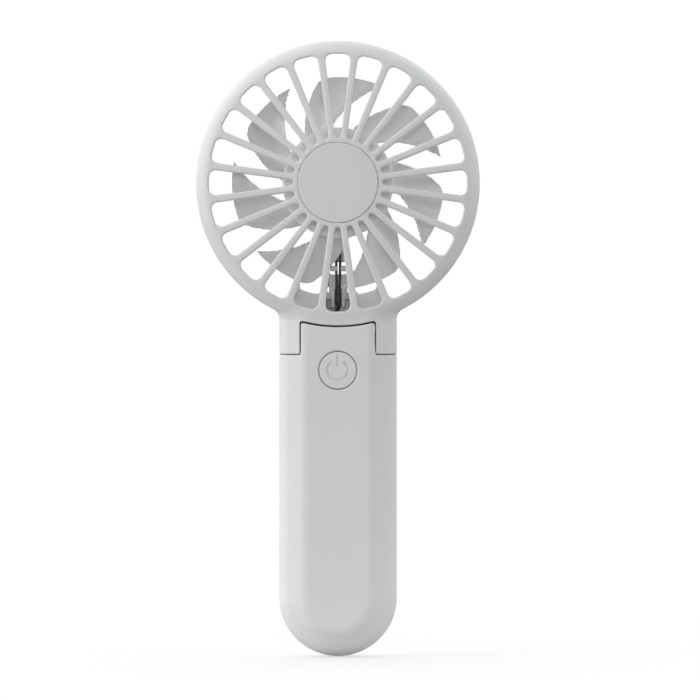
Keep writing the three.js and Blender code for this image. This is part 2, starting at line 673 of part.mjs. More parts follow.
// Where a blade's surface lies: u runs from its leading to its trailing edge, t from hub to tip.
function bladePoint(u, t, side) {
  const span = IMPELLER.tipR - BLADE.root;
  const r = BLADE.root + span * t - (u < 0.02 && t > 0.98 ? 0.8 : 0);
  const lead = -27 + 28 * t ** 0.92;
  const trail = 2 + 34 * t ** 0.85;
  const phase = IMPELLER.phase + lead + (trail - lead) * u;
  const back = IMPELLER.rear - 0.6 - 1.6 * t;
  const front = IMPELLER.front + 1.2 + 1.8 * t;
  const y = back + (front - back) * (0.72 * u + 0.28 * u * u);
  const thick = BLADE.rootThick + (BLADE.tipThick - BLADE.rootThick) * t;
  const edge = 0.35 + 0.65 * Math.sin(Math.PI * u) ** 0.5;
  const a = THREE.MathUtils.degToRad(phase);
  return [r * Math.sin(a), y + (side * thick * edge) / 2, HEAD.z + r * Math.cos(a)];
}

function blade() {
  const { chordSteps, spanSteps } = BLADE;
  const [position, index] = [[], []];
  for (const side of [-1, 1])
    for (let j = 0; j <= spanSteps; j++)
      for (let i = 0; i <= chordSteps; i++)
        position.push(...bladePoint(i / chordSteps, j / spanSteps, side));
  const row = chordSteps + 1;
  const back = row * (spanSteps + 1);
  const quad = (a, b, c, d) => index.push(a, b, c, a, c, d);
  for (let j = 0; j < spanSteps; j++) {
    for (let i = 0; i < chordSteps; i++) {
      const a = j * row + i;
      quad(a, a + 1, a + 1 + row, a + row);
      quad(a + back + row, a + back + row + 1, a + back + 1, a + back);
    }
    const [first, last] = [j * row, j * row + chordSteps];
    quad(first, first + row, first + row + back, first + back);
    quad(last, last + back, last + row + back, last + row);
  }
  for (let i = 0; i < chordSteps; i++) {
    const top = spanSteps * row + i;
    quad(i, i + back, i + 1 + back, i + 1);
    quad(top, top + 1, top + 1 + back, top + back);
  }
  const geometry = new THREE.BufferGeometry().setIndex(index);
  return geometry.setAttribute("position", new THREE.Float32BufferAttribute(position, 3));
}

function impeller() {
  const { hubR, front, rear, blades } = IMPELLER;
  const { wall, floor, postR, postRear, boreR } = HUB;
  const hub = turnedRing(
    [
      [boreR, front],
      [hubR - 1.2, front],
      [hubR - 0.3, front + 0.4],
      [hubR, front + 1.3],
      [hubR, rear],
      [hubR - wall, rear],
      [hubR - wall, front + floor],
      [postR, front + floor],
      [postR, postRear],
      [boreR, postRear],
    ],
    32,
  );
  const rootBore = rodY(hubR - wall + 0.1, front + floor, rear + 1, 0, HEAD.z, 32);
  const parts = Array.from({ length: blades }, (_, i) => {
    const turn = (2 * Math.PI * i) / blades;
    const geometry = blade().translate(0, 0, -HEAD.z).rotateY(turn).translate(0, 0, HEAD.z);
    return cut(solid(geometry), rootBore);
  });
  return join(hub, ...parts);
}

const motorShaft = () => rodY(MOTOR.shaftR, IMPELLER.front + 0.6, 12.2, 0, HEAD.z, 16);

function motorCan() {
  const { r, front, rear, wall, bearingR } = MOTOR;
  const [open, floor] = [rear - 1.6, front + 0.8];
  const outside = [[bearingR, front], [r - 0.8, front], [r, floor], [r, open]];
  return turnedRing([...outside, [r - wall, open], [r - wall, floor], [bearingR, floor]], 28);
}

const motorMagnetRing = () => sleeve(MAGNET.inner, MAGNET.outer, MAGNET.front, MAGNET.rear, 24);
const motorFrontBush = () => sleeve(1.15, 2.3, -0.6, 1.9, 16);
const motorRearBush = () => sleeve(1.15, 2, 11.1, 13, 16);
const motorCommutator = () => sleeve(1.25, 2.4, 9.2, 10.8, 16);

function motorEndCap() {
  const { r, rear } = MOTOR;
  const [front, boss] = [rear - 1.3, rear + 0.6];
  return turnedRing([[2.3, front], [r, front], [r, rear], [4, rear], [4, boss], [2.3, boss]], 28);
}

// Three poles on the shaft, in front of the commutator.
function motorArmature() {
  const ring = cut(rodY(9, 3, 9, 0, HEAD.z, 24), rodY(7.6, 2, 10, 0, HEAD.z, 24));
  const poles = [0, 1, 2].map((i) => {
    const neck = box(-1.6, 1.6, 3.4, 8.6, HEAD.z + 1.5, HEAD.z + 8.6);
    const shoe = ring.intersect(box(-6, 6, 2, 10, HEAD.z + 4, HEAD.z + 10));
    return join(neck, shoe).translate(0, 0, -HEAD.z).rotate(0, 120 * i, 0).translate(0, 0, HEAD.z);
  });
  return cut(join(rodY(3, 3.2, 8.8, 0, HEAD.z, 12), ...poles), rodY(1.25, 2, 10, 0, HEAD.z, 12));
}

function motorTerminal(side) {
  const [x, half] = [side * 6, 1.1];
  return box(x - half, x + half, 12.9, 13.9, HEAD.z - 7, HEAD.z - 4.2);
}

// Each lead runs from its terminal out of the cup, down the wide rib, through the neck to the left
// arm and in along the hinge axis. side is -1 for the left lead and 1 for the right one, which lie
// beside each other all the way.
function motorLeadUpper(side) {
  const [rib, pair] = [0.72 * side, 0.56 * side];
  return wire(
    [
      [side * 5, 13.4, HEAD.z - 7.7],
      [side * 2.6, 13.4, HEAD.z - 10],
      [rib, 13.2, HEAD.z - 12.6],
      [rib, 12.2, HEAD.z - 15.2],
      [rib, 10.6, HEAD.z - 18.5],
      [rib, 10.5, HEAD.z - 30],
      [pair, 10.5, HEAD.z - 38],
      [pair, 10.3, 130],
      [0.42 * side, 9.6 + 0.46 * side, 127.6],
      [-1.4, 8.4 + 0.62 * side, 126.1],
      [-4, 7.2 + pair, 125.8],
      [-9, 6.4 + pair, 125.8],
      [-13.5, 6 + pair, 125.8],
      [-16.2, 6 + pair, 125.1],
      [-17.4, 6 + pair, 123.4],
      [-17.65, 6 + pair, 120.5],
      [-17.5, 6 + pair, 118],
      [-16.9, 6 + pair, 116.95],
      [-15.6, 6 + pair, 116.5],
      [-13.8, 6 + pair, 116.5],
    ],
    LEAD_R,
    32,
  );
}

// The rest of the same lead, from inside the hinge pin to its socket on the board.
function motorLeadLower(side) {
  const [pair, spread] = [0.56 * side, 1.1 * side];
  return wire([
    [-13.4, 6 + pair, 116.5],
    [-10.6, 6 + pair, 116.5],
    [-8.8 + pair, 5.6 + pair, 116.2],
    [-7.9 + pair, 3.4, 115.2],
    [-7.9 + pair, 0.9, 113],
    [-8.9 + 0.8 * side, -0.3, 109],
    [-11 + spread, -0.4, 105],
    [-11 + spread, -0.4, 99.8],
  ]);
}

const batteryLeadRed = () =>
  wire([[-0.6, -6.1, 81.6], [-1.4, -6.8, 83], [-3, -6.2, 86], [-4, -5, 89], [-4, -4.3, 91.5]], LEAD_R, 9);

// Up beside the cradle, from the spring's end to the board.
function batteryLeadBlack() {
  const x = -11.75;
  const round = [[-5.7, 1.5, 13.6], [-9.2, 5.4, 13.6], [-11.7, 4.8, 15.5]];
  const up = [[x, 0, 20], [x, -2, 30], [x, -2, 55], [x, -2, 80]];
  const over = [[-11.3, -3.6, 86], [-9, -4.2, 89.5], [-8.4, -4.3, 91.5]];
  return wire([...round, ...up, ...over], LEAD_R, 18);
}

// ---- the assembly -------------------------------------------------------------------------

const material = (color, roughness, metalness) =>
  new THREE.MeshStandardMaterial({ color, roughness, metalness });
const plastic = (color, roughness = 0.5) => material(color, roughness, 0);
const metal = (color, roughness = 0.35) => material(color, roughness, 1);

const MATERIALS = {
  shell: plastic(0xc9cccb),
  impeller: plastic(0xc0c5c4, 0.55),
  cradle: plastic(0xb9bdbc),
  steel: metal(0xb8bcc0),
  brass: metal(0xc8a860),
  magnet: plastic(0x2a2a2c, 0.7),
  board: plastic(0x1d5a38, 0.45),
  dark: plastic(0x202224, 0.5),
  red: plastic(0xb3231e),
  wrapper: plastic(0x6fbf73, 0.4),
  white: plastic(0xe8ebe8, 0.4),
};

const fan = new THREE.Group();

function add(name, made, finish) {
  const mesh = new THREE.Mesh(geometryOf(made), MATERIALS[finish].clone());
  mesh.name = name;
  fan.add(mesh);
}

function addScrews(prefix, places, tipY) {
  for (const [place, x, z] of places) {
    add(`${prefix}_${place}`, screw(x, z, HEAD_SEAT_Y + GAP, tipY), "steel");
  }
}

function addHandle() {
  const skin = handleSkin();
  add("handle_front_shell", handleFrontShell(skin), "shell");
  add("handle_rear_shell", handleRearShell(skin), "shell");
  addScrews("handle_screw", HANDLE_SCREWS, HANDLE_SCREW_TIP_Y);
  add("battery_cradle", batteryCradle(), "cradle");
  add("contact_spring_negative", contactSpring(), "steel");
  add("contact_plate_positive", contactPlate(), "steel");
  add("control_board", controlBoard(), "board");
  add("tact_switch", tactSwitch(), "dark");
  add("usb_port", usbPort(), "steel");
  add("charge_chip", chargeChip(), "dark");
  add("boost_coil", boostCoil(), "dark");
  add("motor_lead_socket", leadSocket(), "white");
  add("charge_light_pipe", chargeLightPipe(), "white");
  add("battery_lead_red", batteryLeadRed(), "red");
  add("battery_lead_black", batteryLeadBlack(), "dark");
  add("motor_lead_left_lower", motorLeadLower(-1), "dark");
  add("motor_lead_right_lower", motorLeadLower(1), "dark");
  for (const [place, side] of [["left", -1], ["right", 1]]) {
    add(`hinge_pin_${place}`, hingePin(side), "steel");
    add(`friction_washer_${place}`, frictionWasher(side), "brass");
  }
}

function addMovingHandleParts() {
  add("battery_cover", batteryCover(), "shell");
  add("power_button", powerButton(), "shell");
  add("switch_plunger", switchPlunger(), "dark");
  add("cell_can", cellCan(), "steel");
  add("cell_wrapper", cellWrapper(), "wrapper");
  add("cell_insulator_ring", cellInsulatorRing(), "white");
  add("cell_positive_cap", cellPositiveCap(), "steel");
}

function addHead() {
  const skin = headSkin();
  add("front_grille", frontGrille(skin), "shell");
  add("rear_grille", rearGrille(skin), "shell");
  add("hub_cap", hubCap(), "shell");
  addScrews("head_screw", HEAD_SCREWS, HEAD_SCREW_TIP_Y);
  add("motor_can", motorCan(), "steel");
  add("motor_magnet_ring", motorMagnetRing(), "magnet");
  add("motor_end_cap", motorEndCap(), "dark");
  add("motor_front_bush", motorFrontBush(), "brass");
  add("motor_rear_bush", motorRearBush(), "brass");
  add("motor_terminal_left", motorTerminal(-1), "brass");
  add("motor_terminal_right", motorTerminal(1), "brass");
  add("motor_lead_left", motorLeadUpper(-1), "dark");
  add("motor_lead_right", motorLeadUpper(1), "dark");
}

function addRotor() {
  add("impeller", impeller(), "impeller");
  add("motor_shaft", motorShaft(), "steel");
  add("motor_armature", motorArmature(), "steel");
  add("motor_commutator", motorCommutator(), "brass");
}

addHandle();
addMovingHandleParts();
addHead();
addRotor();

export default fan;
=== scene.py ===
import json
import math

import bpy
import numpy as np
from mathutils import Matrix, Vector


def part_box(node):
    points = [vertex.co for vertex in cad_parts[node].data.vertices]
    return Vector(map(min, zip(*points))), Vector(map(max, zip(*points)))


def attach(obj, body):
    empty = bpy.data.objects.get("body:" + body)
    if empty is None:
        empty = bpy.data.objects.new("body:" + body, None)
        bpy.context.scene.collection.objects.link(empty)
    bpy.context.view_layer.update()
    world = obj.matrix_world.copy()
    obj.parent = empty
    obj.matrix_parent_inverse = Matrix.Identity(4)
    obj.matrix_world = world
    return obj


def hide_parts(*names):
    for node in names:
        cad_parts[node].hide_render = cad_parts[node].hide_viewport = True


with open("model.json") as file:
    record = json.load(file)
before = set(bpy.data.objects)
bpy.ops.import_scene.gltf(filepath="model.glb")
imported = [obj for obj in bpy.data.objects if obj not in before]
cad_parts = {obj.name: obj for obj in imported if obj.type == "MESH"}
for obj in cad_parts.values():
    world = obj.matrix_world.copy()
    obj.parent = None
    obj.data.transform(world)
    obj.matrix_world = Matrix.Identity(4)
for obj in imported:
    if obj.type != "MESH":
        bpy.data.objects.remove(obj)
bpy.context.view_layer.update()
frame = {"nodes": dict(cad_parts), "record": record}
MM = 0.001

# ---- sizes and places in millimetres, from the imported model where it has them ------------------


def box_mm(node):
    lo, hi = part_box(node)
    return np.array(lo) / MM, np.array(hi) / MM


def middle(node):
    lo, hi = box_mm(node)
    return (lo + hi) / 2


front_lo, front_hi = box_mm("front_grille")
shell_lo, shell_hi = box_mm("handle_front_shell")
cover_hi = box_mm("battery_cover")[1]
HEAD_R = float(front_hi[0])
HEAD_Z = float(front_hi[2]) - HEAD_R
CROWN = float(box_mm("rear_grille")[1][1])
HALF = float(shell_hi[0])
FRONT_Y = float(shell_lo[1])
REAR_Y = float(cover_hi[1])
ARM_Z = float(front_lo[2])
SHOULDER_Z = 110.5
EDGE_R, RISE, PLATE, RIM_ROUND = 47.2, 3.6, 2.4, 5.4
SLOT_COUNT, SLOT_IN, SLOT_OUT, SLOT_CORNER = 24, 16.3, 47.1, 2.5
FRONT_RIB, REAR_RIB = (1.14, 1.36), (1.0, 1.1)
SLOT_REAR, BESIDE_REAR, POCKET_REAR = -9.0, -5.0, 9.6
CAP_R = float(box_mm("hub_cap")[1][0])
HINGE_Y, HINGE_Z = (float(v) for v in middle("hinge_pin_left")[1:])
KNUCKLE_R, SWEEP_R, BORE_R = 6.5, 6.85, 2.9
TONGUE_HALF, ROOM_HALF, SEAM_LIP = 13.5, 13.9, 0.33
TONGUE_ARC, ROOM_ARC = HEAD_Z - 120.7, HEAD_Z - 121.3
NECK_HALF, BLOCK_R, BLOCK_WALL, NECK_FLOOR, ROOM_FRONT = 18.4, 41.5, 1.6, 125.0, -3.6
WALL = 1.9
BUTTON_Z = float(middle("power_button")[2])
BUTTON_R, BUTTON_HOLE, BUTTON_FLANGE = 6.8, 7.08, 8.0
COVER_HALF, COVER_TOP = float(cover_hi[0]), float(cover_hi[2])
CUP_R, CUP_WALL = 12.6, 1.6
ARM_HALF, ARM_FRONT, ARM_REAR, ARM_END_Z = 3.4, 11.4, 13.2, 131
WINDOW_HALF, WINDOW_LOW, WINDOW_HIGH = 2.95, 140, 144.4
HANDLE_SCREWS = [n for n in frame["nodes"] if n.startswith("handle_screw")]
HEAD_SCREWS = [n for n in frame["nodes"] if n.startswith("head_screw")]
HUB_R, TIP_R, BLADES, BLADE_PHASE, BLADE_ROOT = 20.3, 38.9, 7, 40.5, 19.6
HUB_FRONT, HUB_REAR = (float(v[1]) for v in box_mm("impeller"))
CELL_R = float(box_mm("cell_wrapper")[1][0])
CELL_Y = float(middle("cell_wrapper")[1])
BODY_OF = {n: b for b, names in frame["record"]["behaviour"]["bodies"].items() for n in names}

# ---- distance fields: negative inside -----------------------------------------------------------


def round_and(a, b, r):
    """The common part of two solids, with the new edge rounded to radius r."""
    a, b = a + r, b + r
    return np.minimum(np.maximum(a, b), 0) + np.hypot(np.maximum(a, 0), np.maximum(b, 0)) - r


def round_or(a, b, r):
    """Two solids joined, with a fillet of radius r between them."""
    return -round_and(-a, -b, r)


def carve(a, b, r):
    """Solid a without solid b, with the new edge rounded."""
    return round_and(a, -b, r)


def all_of(*fields):
    out = fields[0]
    for f in fields[1:]:
        out = np.maximum(out, f)
    return out


def any_of(*fields):
    out = fields[0]
    for f in fields[1:]:
        out = np.minimum(out, f)
    return out


def slab(v, lo, hi):
    return np.abs(v - (lo + hi) / 2) - (hi - lo) / 2


def hinge_rod(y, z, r):
    return np.hypot(y - HINGE_Y, z - HINGE_Z) - r


def rod(u, v, cu, cv, r):
    return np.hypot(u - cu, v - cv) - r


# ---- the outer forms ------------------------------------------------------------------------------


def section(d, y):
    """The handle's section: d is the distance outside its outline, and y runs front to back."""
    bevel = ((d + 9.3) * 4.4 - (y - FRONT_Y) * 7.8) / math.hypot(4.4, 7.8)
    rear_low = (d * 3.8 + (y - 6.4) * 3.0) / math.hypot(3.8, 3.0)
    rear_high = ((d + 2.8) * 2.5 + (y - 10.1) * 5.8) / math.hypot(2.5, 5.8)
    front = round_and(round_and(FRONT_Y - y, bevel, 0.8), d, 3.4)
    rear = round_and(round_and(rear_low, rear_high, 3.0), y - REAR_Y, 2.0)
    return round_and(front, rear, 2.5)


def outline(x, z, half=HALF):
    """Distance outside the long outline with a round lower end."""
    return np.where(z > HALF, np.abs(x), np.hypot(x, z - HALF)) - half


def head_outer(r, y):
    crown = CROWN - RISE * (r / EDGE_R) ** 2
    return round_and((np.abs(y) - crown) * 0.99, r - HEAD_R, RIM_ROUND)


def neck_outer(x, y, z):
    keep = any_of(all_of(ARM_Z - z, y - 2.8), HINGE_Z - z, hinge_rod(y, z, KNUCKLE_R))
    return np.maximum(round_and(section(np.abs(x) - HALF, y), keep, 0.45), z - 131.0)


def head_solid(x, y, z, r):
    return round_or(head_outer(r, y), neck_outer(x, y, z), 2.2)


def slot_fold(x, z):
    """The number of the nearest slot, 0 at the top and 12 over the neck, and the angle from it."""
    pitch = 2 * math.pi / SLOT_COUNT
    angle = np.arctan2(x, z - HEAD_Z)
    number = np.round(angle / pitch)
    return np.abs(number), np.abs(angle - pitch * number)


def slot(x, z, r, rib, outer):
    """The ring of air slots, between ribs that widen outwards."""
    half_pitch = math.pi / SLOT_COUNT
    _, off = slot_fold(x, z)
    u, v = r * np.sin(off), r * np.cos(off)
    half = rib[0] + (rib[1] - rib[0]) * (v - SLOT_IN) / (SLOT_OUT - SLOT_IN)
    side = u * math.cos(half_pitch) - v * math.sin(half_pitch) + half
    return round_and(round_and(side, r - outer, SLOT_CORNER), SLOT_IN - r, 1.05)


# ---- the head's shells ----------------------------------------------------------------------------


def block_half(r):
    """Half the width of the block over the neck, whose sides lie behind two ribs."""
    return np.minimum(NECK_HALF, r * math.sin(1.5 * 2 * math.pi / SLOT_COUNT) + 0.8)


def head_rooms(x, y, z, r):
    """The neck's hollows, with what the hinge and its leads need."""
    ax = np.abs(x)
    inner = section(ax - HALF, y) + WALL
    wide = all_of(ax - block_half(r) + 1.7, NECK_FLOOR - z, z - 138, ROOM_FRONT - y)
    room = all_of(inner, wide, BLOCK_R + BLOCK_WALL - r)
    across = slab(ax, ROOM_HALF + 1.5, 19.7)
    arm = all_of(inner, across, slab(z, HINGE_Z, 127.5), -6 - y)
    arm_low = all_of(inner, across, hinge_rod(y, z, KNUCKLE_R - 1.9))
    seat = all_of(slab(ax, ROOM_HALF + 1.4, 17), hinge_rod(y, z, 3.9), inner - WALL + 0.5)
    bore = all_of(ax - 16, hinge_rod(y, z, BORE_R))
    return any_of(room, arm, arm_low, seat, bore)


def tongue_room(x, y, z, r):
    """What the tongue takes between the arms as the head turns."""
    ax = np.abs(x)
    lip = SEAM_LIP * np.clip(1.5 - np.abs(y + 3.5), 0, 1)
    front = np.maximum(round_and(ax - ROOM_HALF + lip, ROOM_ARC - r, 1.4), y - 1.4)
    knuckle = np.maximum(ax - ROOM_HALF, hinge_rod(y, z, SWEEP_R))
    rear = all_of(ax - ROOM_HALF, 1.2 - y, z - 119.6)
    return np.maximum(any_of(front, knuckle, rear), z - 124.5)


def head_skin(x, y, z, r):
    block = all_of(np.abs(x) - block_half(r), BLOCK_R - r, z - 150)
    hollow = np.maximum(head_outer(r, y) + PLATE - 0.1, -block)
    skin = carve(head_solid(x, y, z, r), hollow, 0.5)
    skin = np.maximum(skin, -head_rooms(x, y, z, r))
    return carve(skin, tongue_room(x, y, z, r), 0.45)


def screw_places(names):
    for n in names:
        yield middle(n)[0], middle(n)[2]


def bosses(x, y, z, names, front):
    return any_of(*[all_of(rod(x, z, cx, cz, 2.6), slab(y, front, 0)) for cx, cz in screw_places(names)])


def pilots(x, y, z, names, front):
    return any_of(*[all_of(rod(x, z, cx, cz, 1.2), slab(y, front, 2)) for cx, cz in screw_places(names)])


def towers(x, y, z, names, rear):
    return any_of(*[all_of(rod(x, z, cx, cz, 3.3), slab(y, 0, rear)) for cx, cz in screw_places(names)])


def tower_bores(x, y, z, names):
    bores = [all_of(rod(x, z, cx, cz, 2.5), 5.4 - y) for cx, cz in screw_places(names)]
    holes = [all_of(rod(x, z, cx, cz, 1.2), slab(y, -1, 6)) for cx, cz in screw_places(names)]
    return any_of(*bores, *holes)


def front_grille(x, y, z):
    r = np.hypot(x, z - HEAD_Z)
    shell = head_skin(x, y, z, r)
    shell = carve(shell, np.maximum(r - CAP_R - 0.02, y + 15.2), 0.2)
    number, _ = slot_fold(x, z)
    rear = np.where(number == 12, 1.0, np.where(number == 11, BESIDE_REAR, SLOT_REAR))
    shell = carve(shell, np.maximum(slot(x, z, r, FRONT_RIB, SLOT_OUT), y - rear), 0.62)
    shell = any_of(shell, bosses(x, y, z, HEAD_SCREWS, BESIDE_REAR + 0.6))
    shell = np.maximum(shell, -pilots(x, y, z, HEAD_SCREWS, BESIDE_REAR + 1.2))
    return round_and(shell, y + 0.02, 0.35)


def rear_grille(x, y, z):
    r = np.hypot(x, z - HEAD_Z)
    ax = np.abs(x)
    outer = head_outer(r, y)
    number, _ = slot_fold(x, z)
    shell = head_skin(x, y, z, r)
    reach = np.where(number >= 11, BLOCK_R + 0.2, SLOT_OUT + 0.9)
    shell = carve(shell, np.maximum(slot(x, z, r, REAR_RIB, reach), 9 - y), 0.55)
    pocket = all_of(slot(x, z, r, FRONT_RIB, SLOT_OUT), 11.5 - number, y - POCKET_REAR)
    shell = carve(shell, pocket, 0.3)
    arm = all_of(ax - ARM_HALF, slab(y, ARM_FRONT, ARM_REAR), slab(z, ARM_END_Z, HEAD_Z - 14), outer)
    shell = round_or(shell, arm, 0.4)
    window = all_of(ax - WINDOW_HALF, slab(z, WINDOW_LOW, WINDOW_HIGH), ARM_FRONT - 0.9 - y)
    shell = carve(shell, window, 0.4)
    cup = round_and(slab(r, CUP_R, CUP_R + CUP_WALL), slab(y, 3, 15), 0.3)
    walls = round_and(slab(ax, 1.35, 2.6), np.maximum(slab(y, 8.4, 12), slab(z, 127.5, 134.5)), 0.25)
    tab = np.maximum(slab(ax, 0.35, ARM_HALF), slab(y, 9.2, 9.8))
    leg = np.maximum(slab(ax, ARM_HALF - 0.5, ARM_HALF), slab(y, 9.2, 12))
    clips = round_and(np.minimum(tab, leg), slab(z, 140.8, 143.4), 0.15)
    tower = np.maximum(towers(x, y, z, HEAD_SCREWS, 13), head_solid(x, y, z, r))
    shell = any_of(shell, cup, walls, clips, tower)
    lead_gate = all_of(ax - 1.2, slab(y, 9, 11.2), slab(z, 128, 134))
    cup_gate = all_of(ax - 1.6, slab(y, 8.6, 14.2), slab(z, HEAD_Z - 19, HEAD_Z - 11))
    shell = np.maximum(shell, -any_of(tower_bores(x, y, z, HEAD_SCREWS), lead_gate, cup_gate))
    return round_and(shell, 0.02 - y, 0.35)


def hub_cap(x, y, z):
    lo, hi = box_mm("hub_cap")
    r = np.hypot(x, z - HEAD_Z)
    return round_and(r - CAP_R, np.maximum(lo[1] + 0.2 * (r / CAP_R) ** 2 - y, y - hi[1]), 0.18)


# ---- the handle's shells --------------------------------------------------------------------------


def handle_skin(x, y, z):
    r = np.hypot(x, z - HEAD_Z)
    ax = np.abs(x)
    profile = section(outline(x, z), y)
    behind = np.minimum(hinge_rod(y, z, SWEEP_R), np.maximum(HINGE_Y - y, HINGE_Z - SWEEP_R - z))
    body = carve(round_and(profile, z - SHOULDER_Z, 0.5), behind, 0.4)
    front = all_of(round_and(ax - TONGUE_HALF, TONGUE_ARC - r, 1.1), y - 1.2, 100 - z)
    front = round_and(front, profile, 0.5)
    knuckle = np.maximum(ax - TONGUE_HALF, hinge_rod(y, z, KNUCKLE_R))
    root = all_of(ax - TONGUE_HALF, slab(y, 1, HINGE_Y), slab(z, 100, HINGE_Z))
    outer = any_of(body, front, knuckle, root)
    inside = TONGUE_HALF - WALL
    cavity = any_of(
        all_of(profile + WALL, z - 108.8, WALL - behind),
        all_of(ax - inside, slab(y, -11.1, 2.6), slab(z, 98, 119)),
        all_of(ax - inside, hinge_rod(y, z, KNUCKLE_R - 1.6)),
        all_of(ax - 20, hinge_rod(y, z, BORE_R)),
    )
    seats = all_of(slab(ax, TONGUE_HALF - 0.9, TONGUE_HALF + 1), hinge_rod(y, z, 5.5))
    return all_of(outer, -cavity, -seats)


def side_holes(x, y, z):
    """The charging port's mouth and the hole of the light beside it."""
    lo, hi = box_mm("usb_port")
    mouth = round_and(slab(y, lo[1] - 0.35, hi[1] + 0.35), slab(z, lo[2] - 0.35, hi[2] + 0.35), 1.2)
    ly, lz = middle("charge_light_pipe")[1:]
    return np.maximum(np.minimum(mouth, rod(y, z, ly, lz, 1.1)), 18.5 - x)


def handle_front_shell(x, y, z):
    shell = np.minimum(handle_skin(x, y, z), bosses(x, y, z, HANDLE_SCREWS, -9))
    shell = np.maximum(shell, -pilots(x, y, z, HANDLE_SCREWS, -7.5))
    shell = carve(shell, np.maximum(rod(x, z, 0, BUTTON_Z, BUTTON_HOLE), y + 9), 0.45)
    shell = carve(shell, side_holes(x, y, z), 0.3)
    return round_and(shell, y + 0.02, 0.3)


def cover_outline(x, z, grow):
    """The battery cover's outline: straight sides, a round lower end and small upper corners."""
    return round_and(outline(x, z, COVER_HALF + grow), z - COVER_TOP - grow, 2 + grow)


def handle_rear_shell(x, y, z):
    tower = np.maximum(towers(x, y, z, HANDLE_SCREWS, 11.5), section(outline(x, z), y) + 0.3)
    shell = np.minimum(handle_skin(x, y, z), tower)
    shell = np.maximum(shell, -tower_bores(x, y, z, HANDLE_SCREWS))
    shell = carve(shell, np.maximum(cover_outline(x, z, 0.3), 5 - y), 0.35)
    shell = carve(shell, side_holes(x, y, z), 0.3)
    return round_and(shell, 0.02 - y, 0.3)


def battery_cover(x, y, z):
    inner = REAR_Y - 1.6
    plate = round_and(cover_outline(x, z, 0), slab(y, inner, REAR_Y), 0.35)
    ribs = all_of(slab(np.abs(x), COVER_HALF - 2, COVER_HALF - 1.1), slab(y, inner - 1.4, inner + 0.2))
    body = round_or(plate, np.maximum(ribs, slab(z, 34, 76)), 0.3)
    for i in range(5):
        groove = round_and(np.abs(x) - 5.5 + 0.5 * i, rod(z, y, 24.45 - 2 * i, REAR_Y, 0.62), 0.3)
        body = carve(body, groove, 0.12)
    nail = all_of(np.abs(x) - 4, COVER_TOP - 1.3 - z, REAR_Y - 0.8 - y)
    return carve(body, nail, 0.2)


def power_mark(x, z):
    """The on mark: a ring that is open at the top, and a bar."""
    v = z - BUTTON_Z
    ring = slab(np.hypot(x, v), 3.2, 4.3)
    ring = round_and(ring, (0.62 - np.abs(np.arctan2(x, v))) * 3.75, 0.4)
    bar = round_and(np.abs(x) - 0.55, slab(v, 1.4, 5.3), 0.45)
    return np.minimum(ring, bar)


def power_button(x, y, z):
    r = np.hypot(x, z - BUTTON_Z)
    front = float(box_mm("power_button")[0][1])
    cap = np.maximum(round_and(r - BUTTON_R, front - y, 0.45), y + 9.9)
    flange = all_of(r - BUTTON_FLANGE, slab(y, -10.8, -9.9))
    post = all_of(r - 1.6, slab(y, -10, -8.2))
    return carve(any_of(cap, flange, post), np.maximum(power_mark(x, z), y - front - 0.36), 0.14)


# ---- the impeller ----------------------------------------------------------------------------------


def blade_field(x, y, z, r):
    t = np.clip((r - BLADE_ROOT) / (TIP_R - BLADE_ROOT), 0, 1.1)
    lead = 28 * t**0.92 - 27
    trail = 34 * t**0.85 + 2
    pitch = 360 / BLADES
    angle = np.degrees(np.arctan2(x, z - HEAD_Z)) - BLADE_PHASE - (lead + trail) / 2
    angle = angle - pitch * np.round(angle / pitch)
    half = (trail - lead) / 2
    u = np.clip((angle / half + 1) / 2, -0.1, 1.1)
    back = HUB_REAR - 0.6 - 1.6 * t
    front = HUB_FRONT + 1.2 + 1.8 * t
    mid = back + (front - back) * (0.72 * u + 0.28 * u**2)
    thick = (1.5 - 0.6 * t) * (0.45 + 0.55 * np.sqrt(np.clip(4 * u * (1 - u), 0, 1)))
    sheet = (np.abs(y - mid) - thick / 2) * 0.8
    edge = (np.abs(angle) - half) * math.radians(1) * r * 0.8
    plan = round_and(edge, r - TIP_R, np.where(angle < 0, 2.2, 0.35))
    return np.maximum(round_and(plan, sheet, 0.25), BLADE_ROOT - 0.6 - r)


def impeller(x, y, z):
    r = np.hypot(x, z - HEAD_Z)
    cup = np.maximum(round_and(r - HUB_R, HUB_FRONT - y, 1.1), y - HUB_REAR)
    cup = carve(cup, np.maximum(r - HUB_R + 1.5, HUB_FRONT + 1.6 - y), 0.4)
    post = all_of(r - 3.2, slab(y, HUB_FRONT + 1, -1.4))
    body = round_or(np.minimum(cup, post), blade_field(x, y, z, r), 0.8)
    return np.maximum(body, 1.15 - r)


# ---- small moulded and formed parts ----------------------------------------------------------------


def screw(node):
    """A pan head screw with a cross recess and a rolled thread."""
    lo, hi = box_mm(node)
    cx, cz = middle(node)[0], middle(node)[2]
    top, head_r, seat = hi[1], (hi[0] - lo[0]) / 2, hi[1] - 1.4

    def field(x, y, z):
        u, v = x - cx, z - cz
        r = np.hypot(u, v)
        head = round_and(r - head_r, slab(y, seat, top), 0.55)
        turn = np.mod(y / 0.62 - np.arctan2(u, v) / (2 * math.pi), 1)
        thread = 0.78 + 0.26 * np.maximum(0, 1 - np.abs(turn - 0.5) * 3.6)
        point = np.maximum((r - thread) * 0.7, lo[1] + r * 1.2 - y)
        shank = np.maximum(point, y - seat - 0.1)
        au, av = np.abs(u), np.abs(v)
        cross = np.minimum(np.maximum(au - 0.26, av - 1.15), np.maximum(av - 0.26, au - 1.15))
        cross = np.maximum(cross, top - 0.85 + 0.35 * r - y)
        return carve(np.minimum(head, shank), cross, 0.06)

    return field


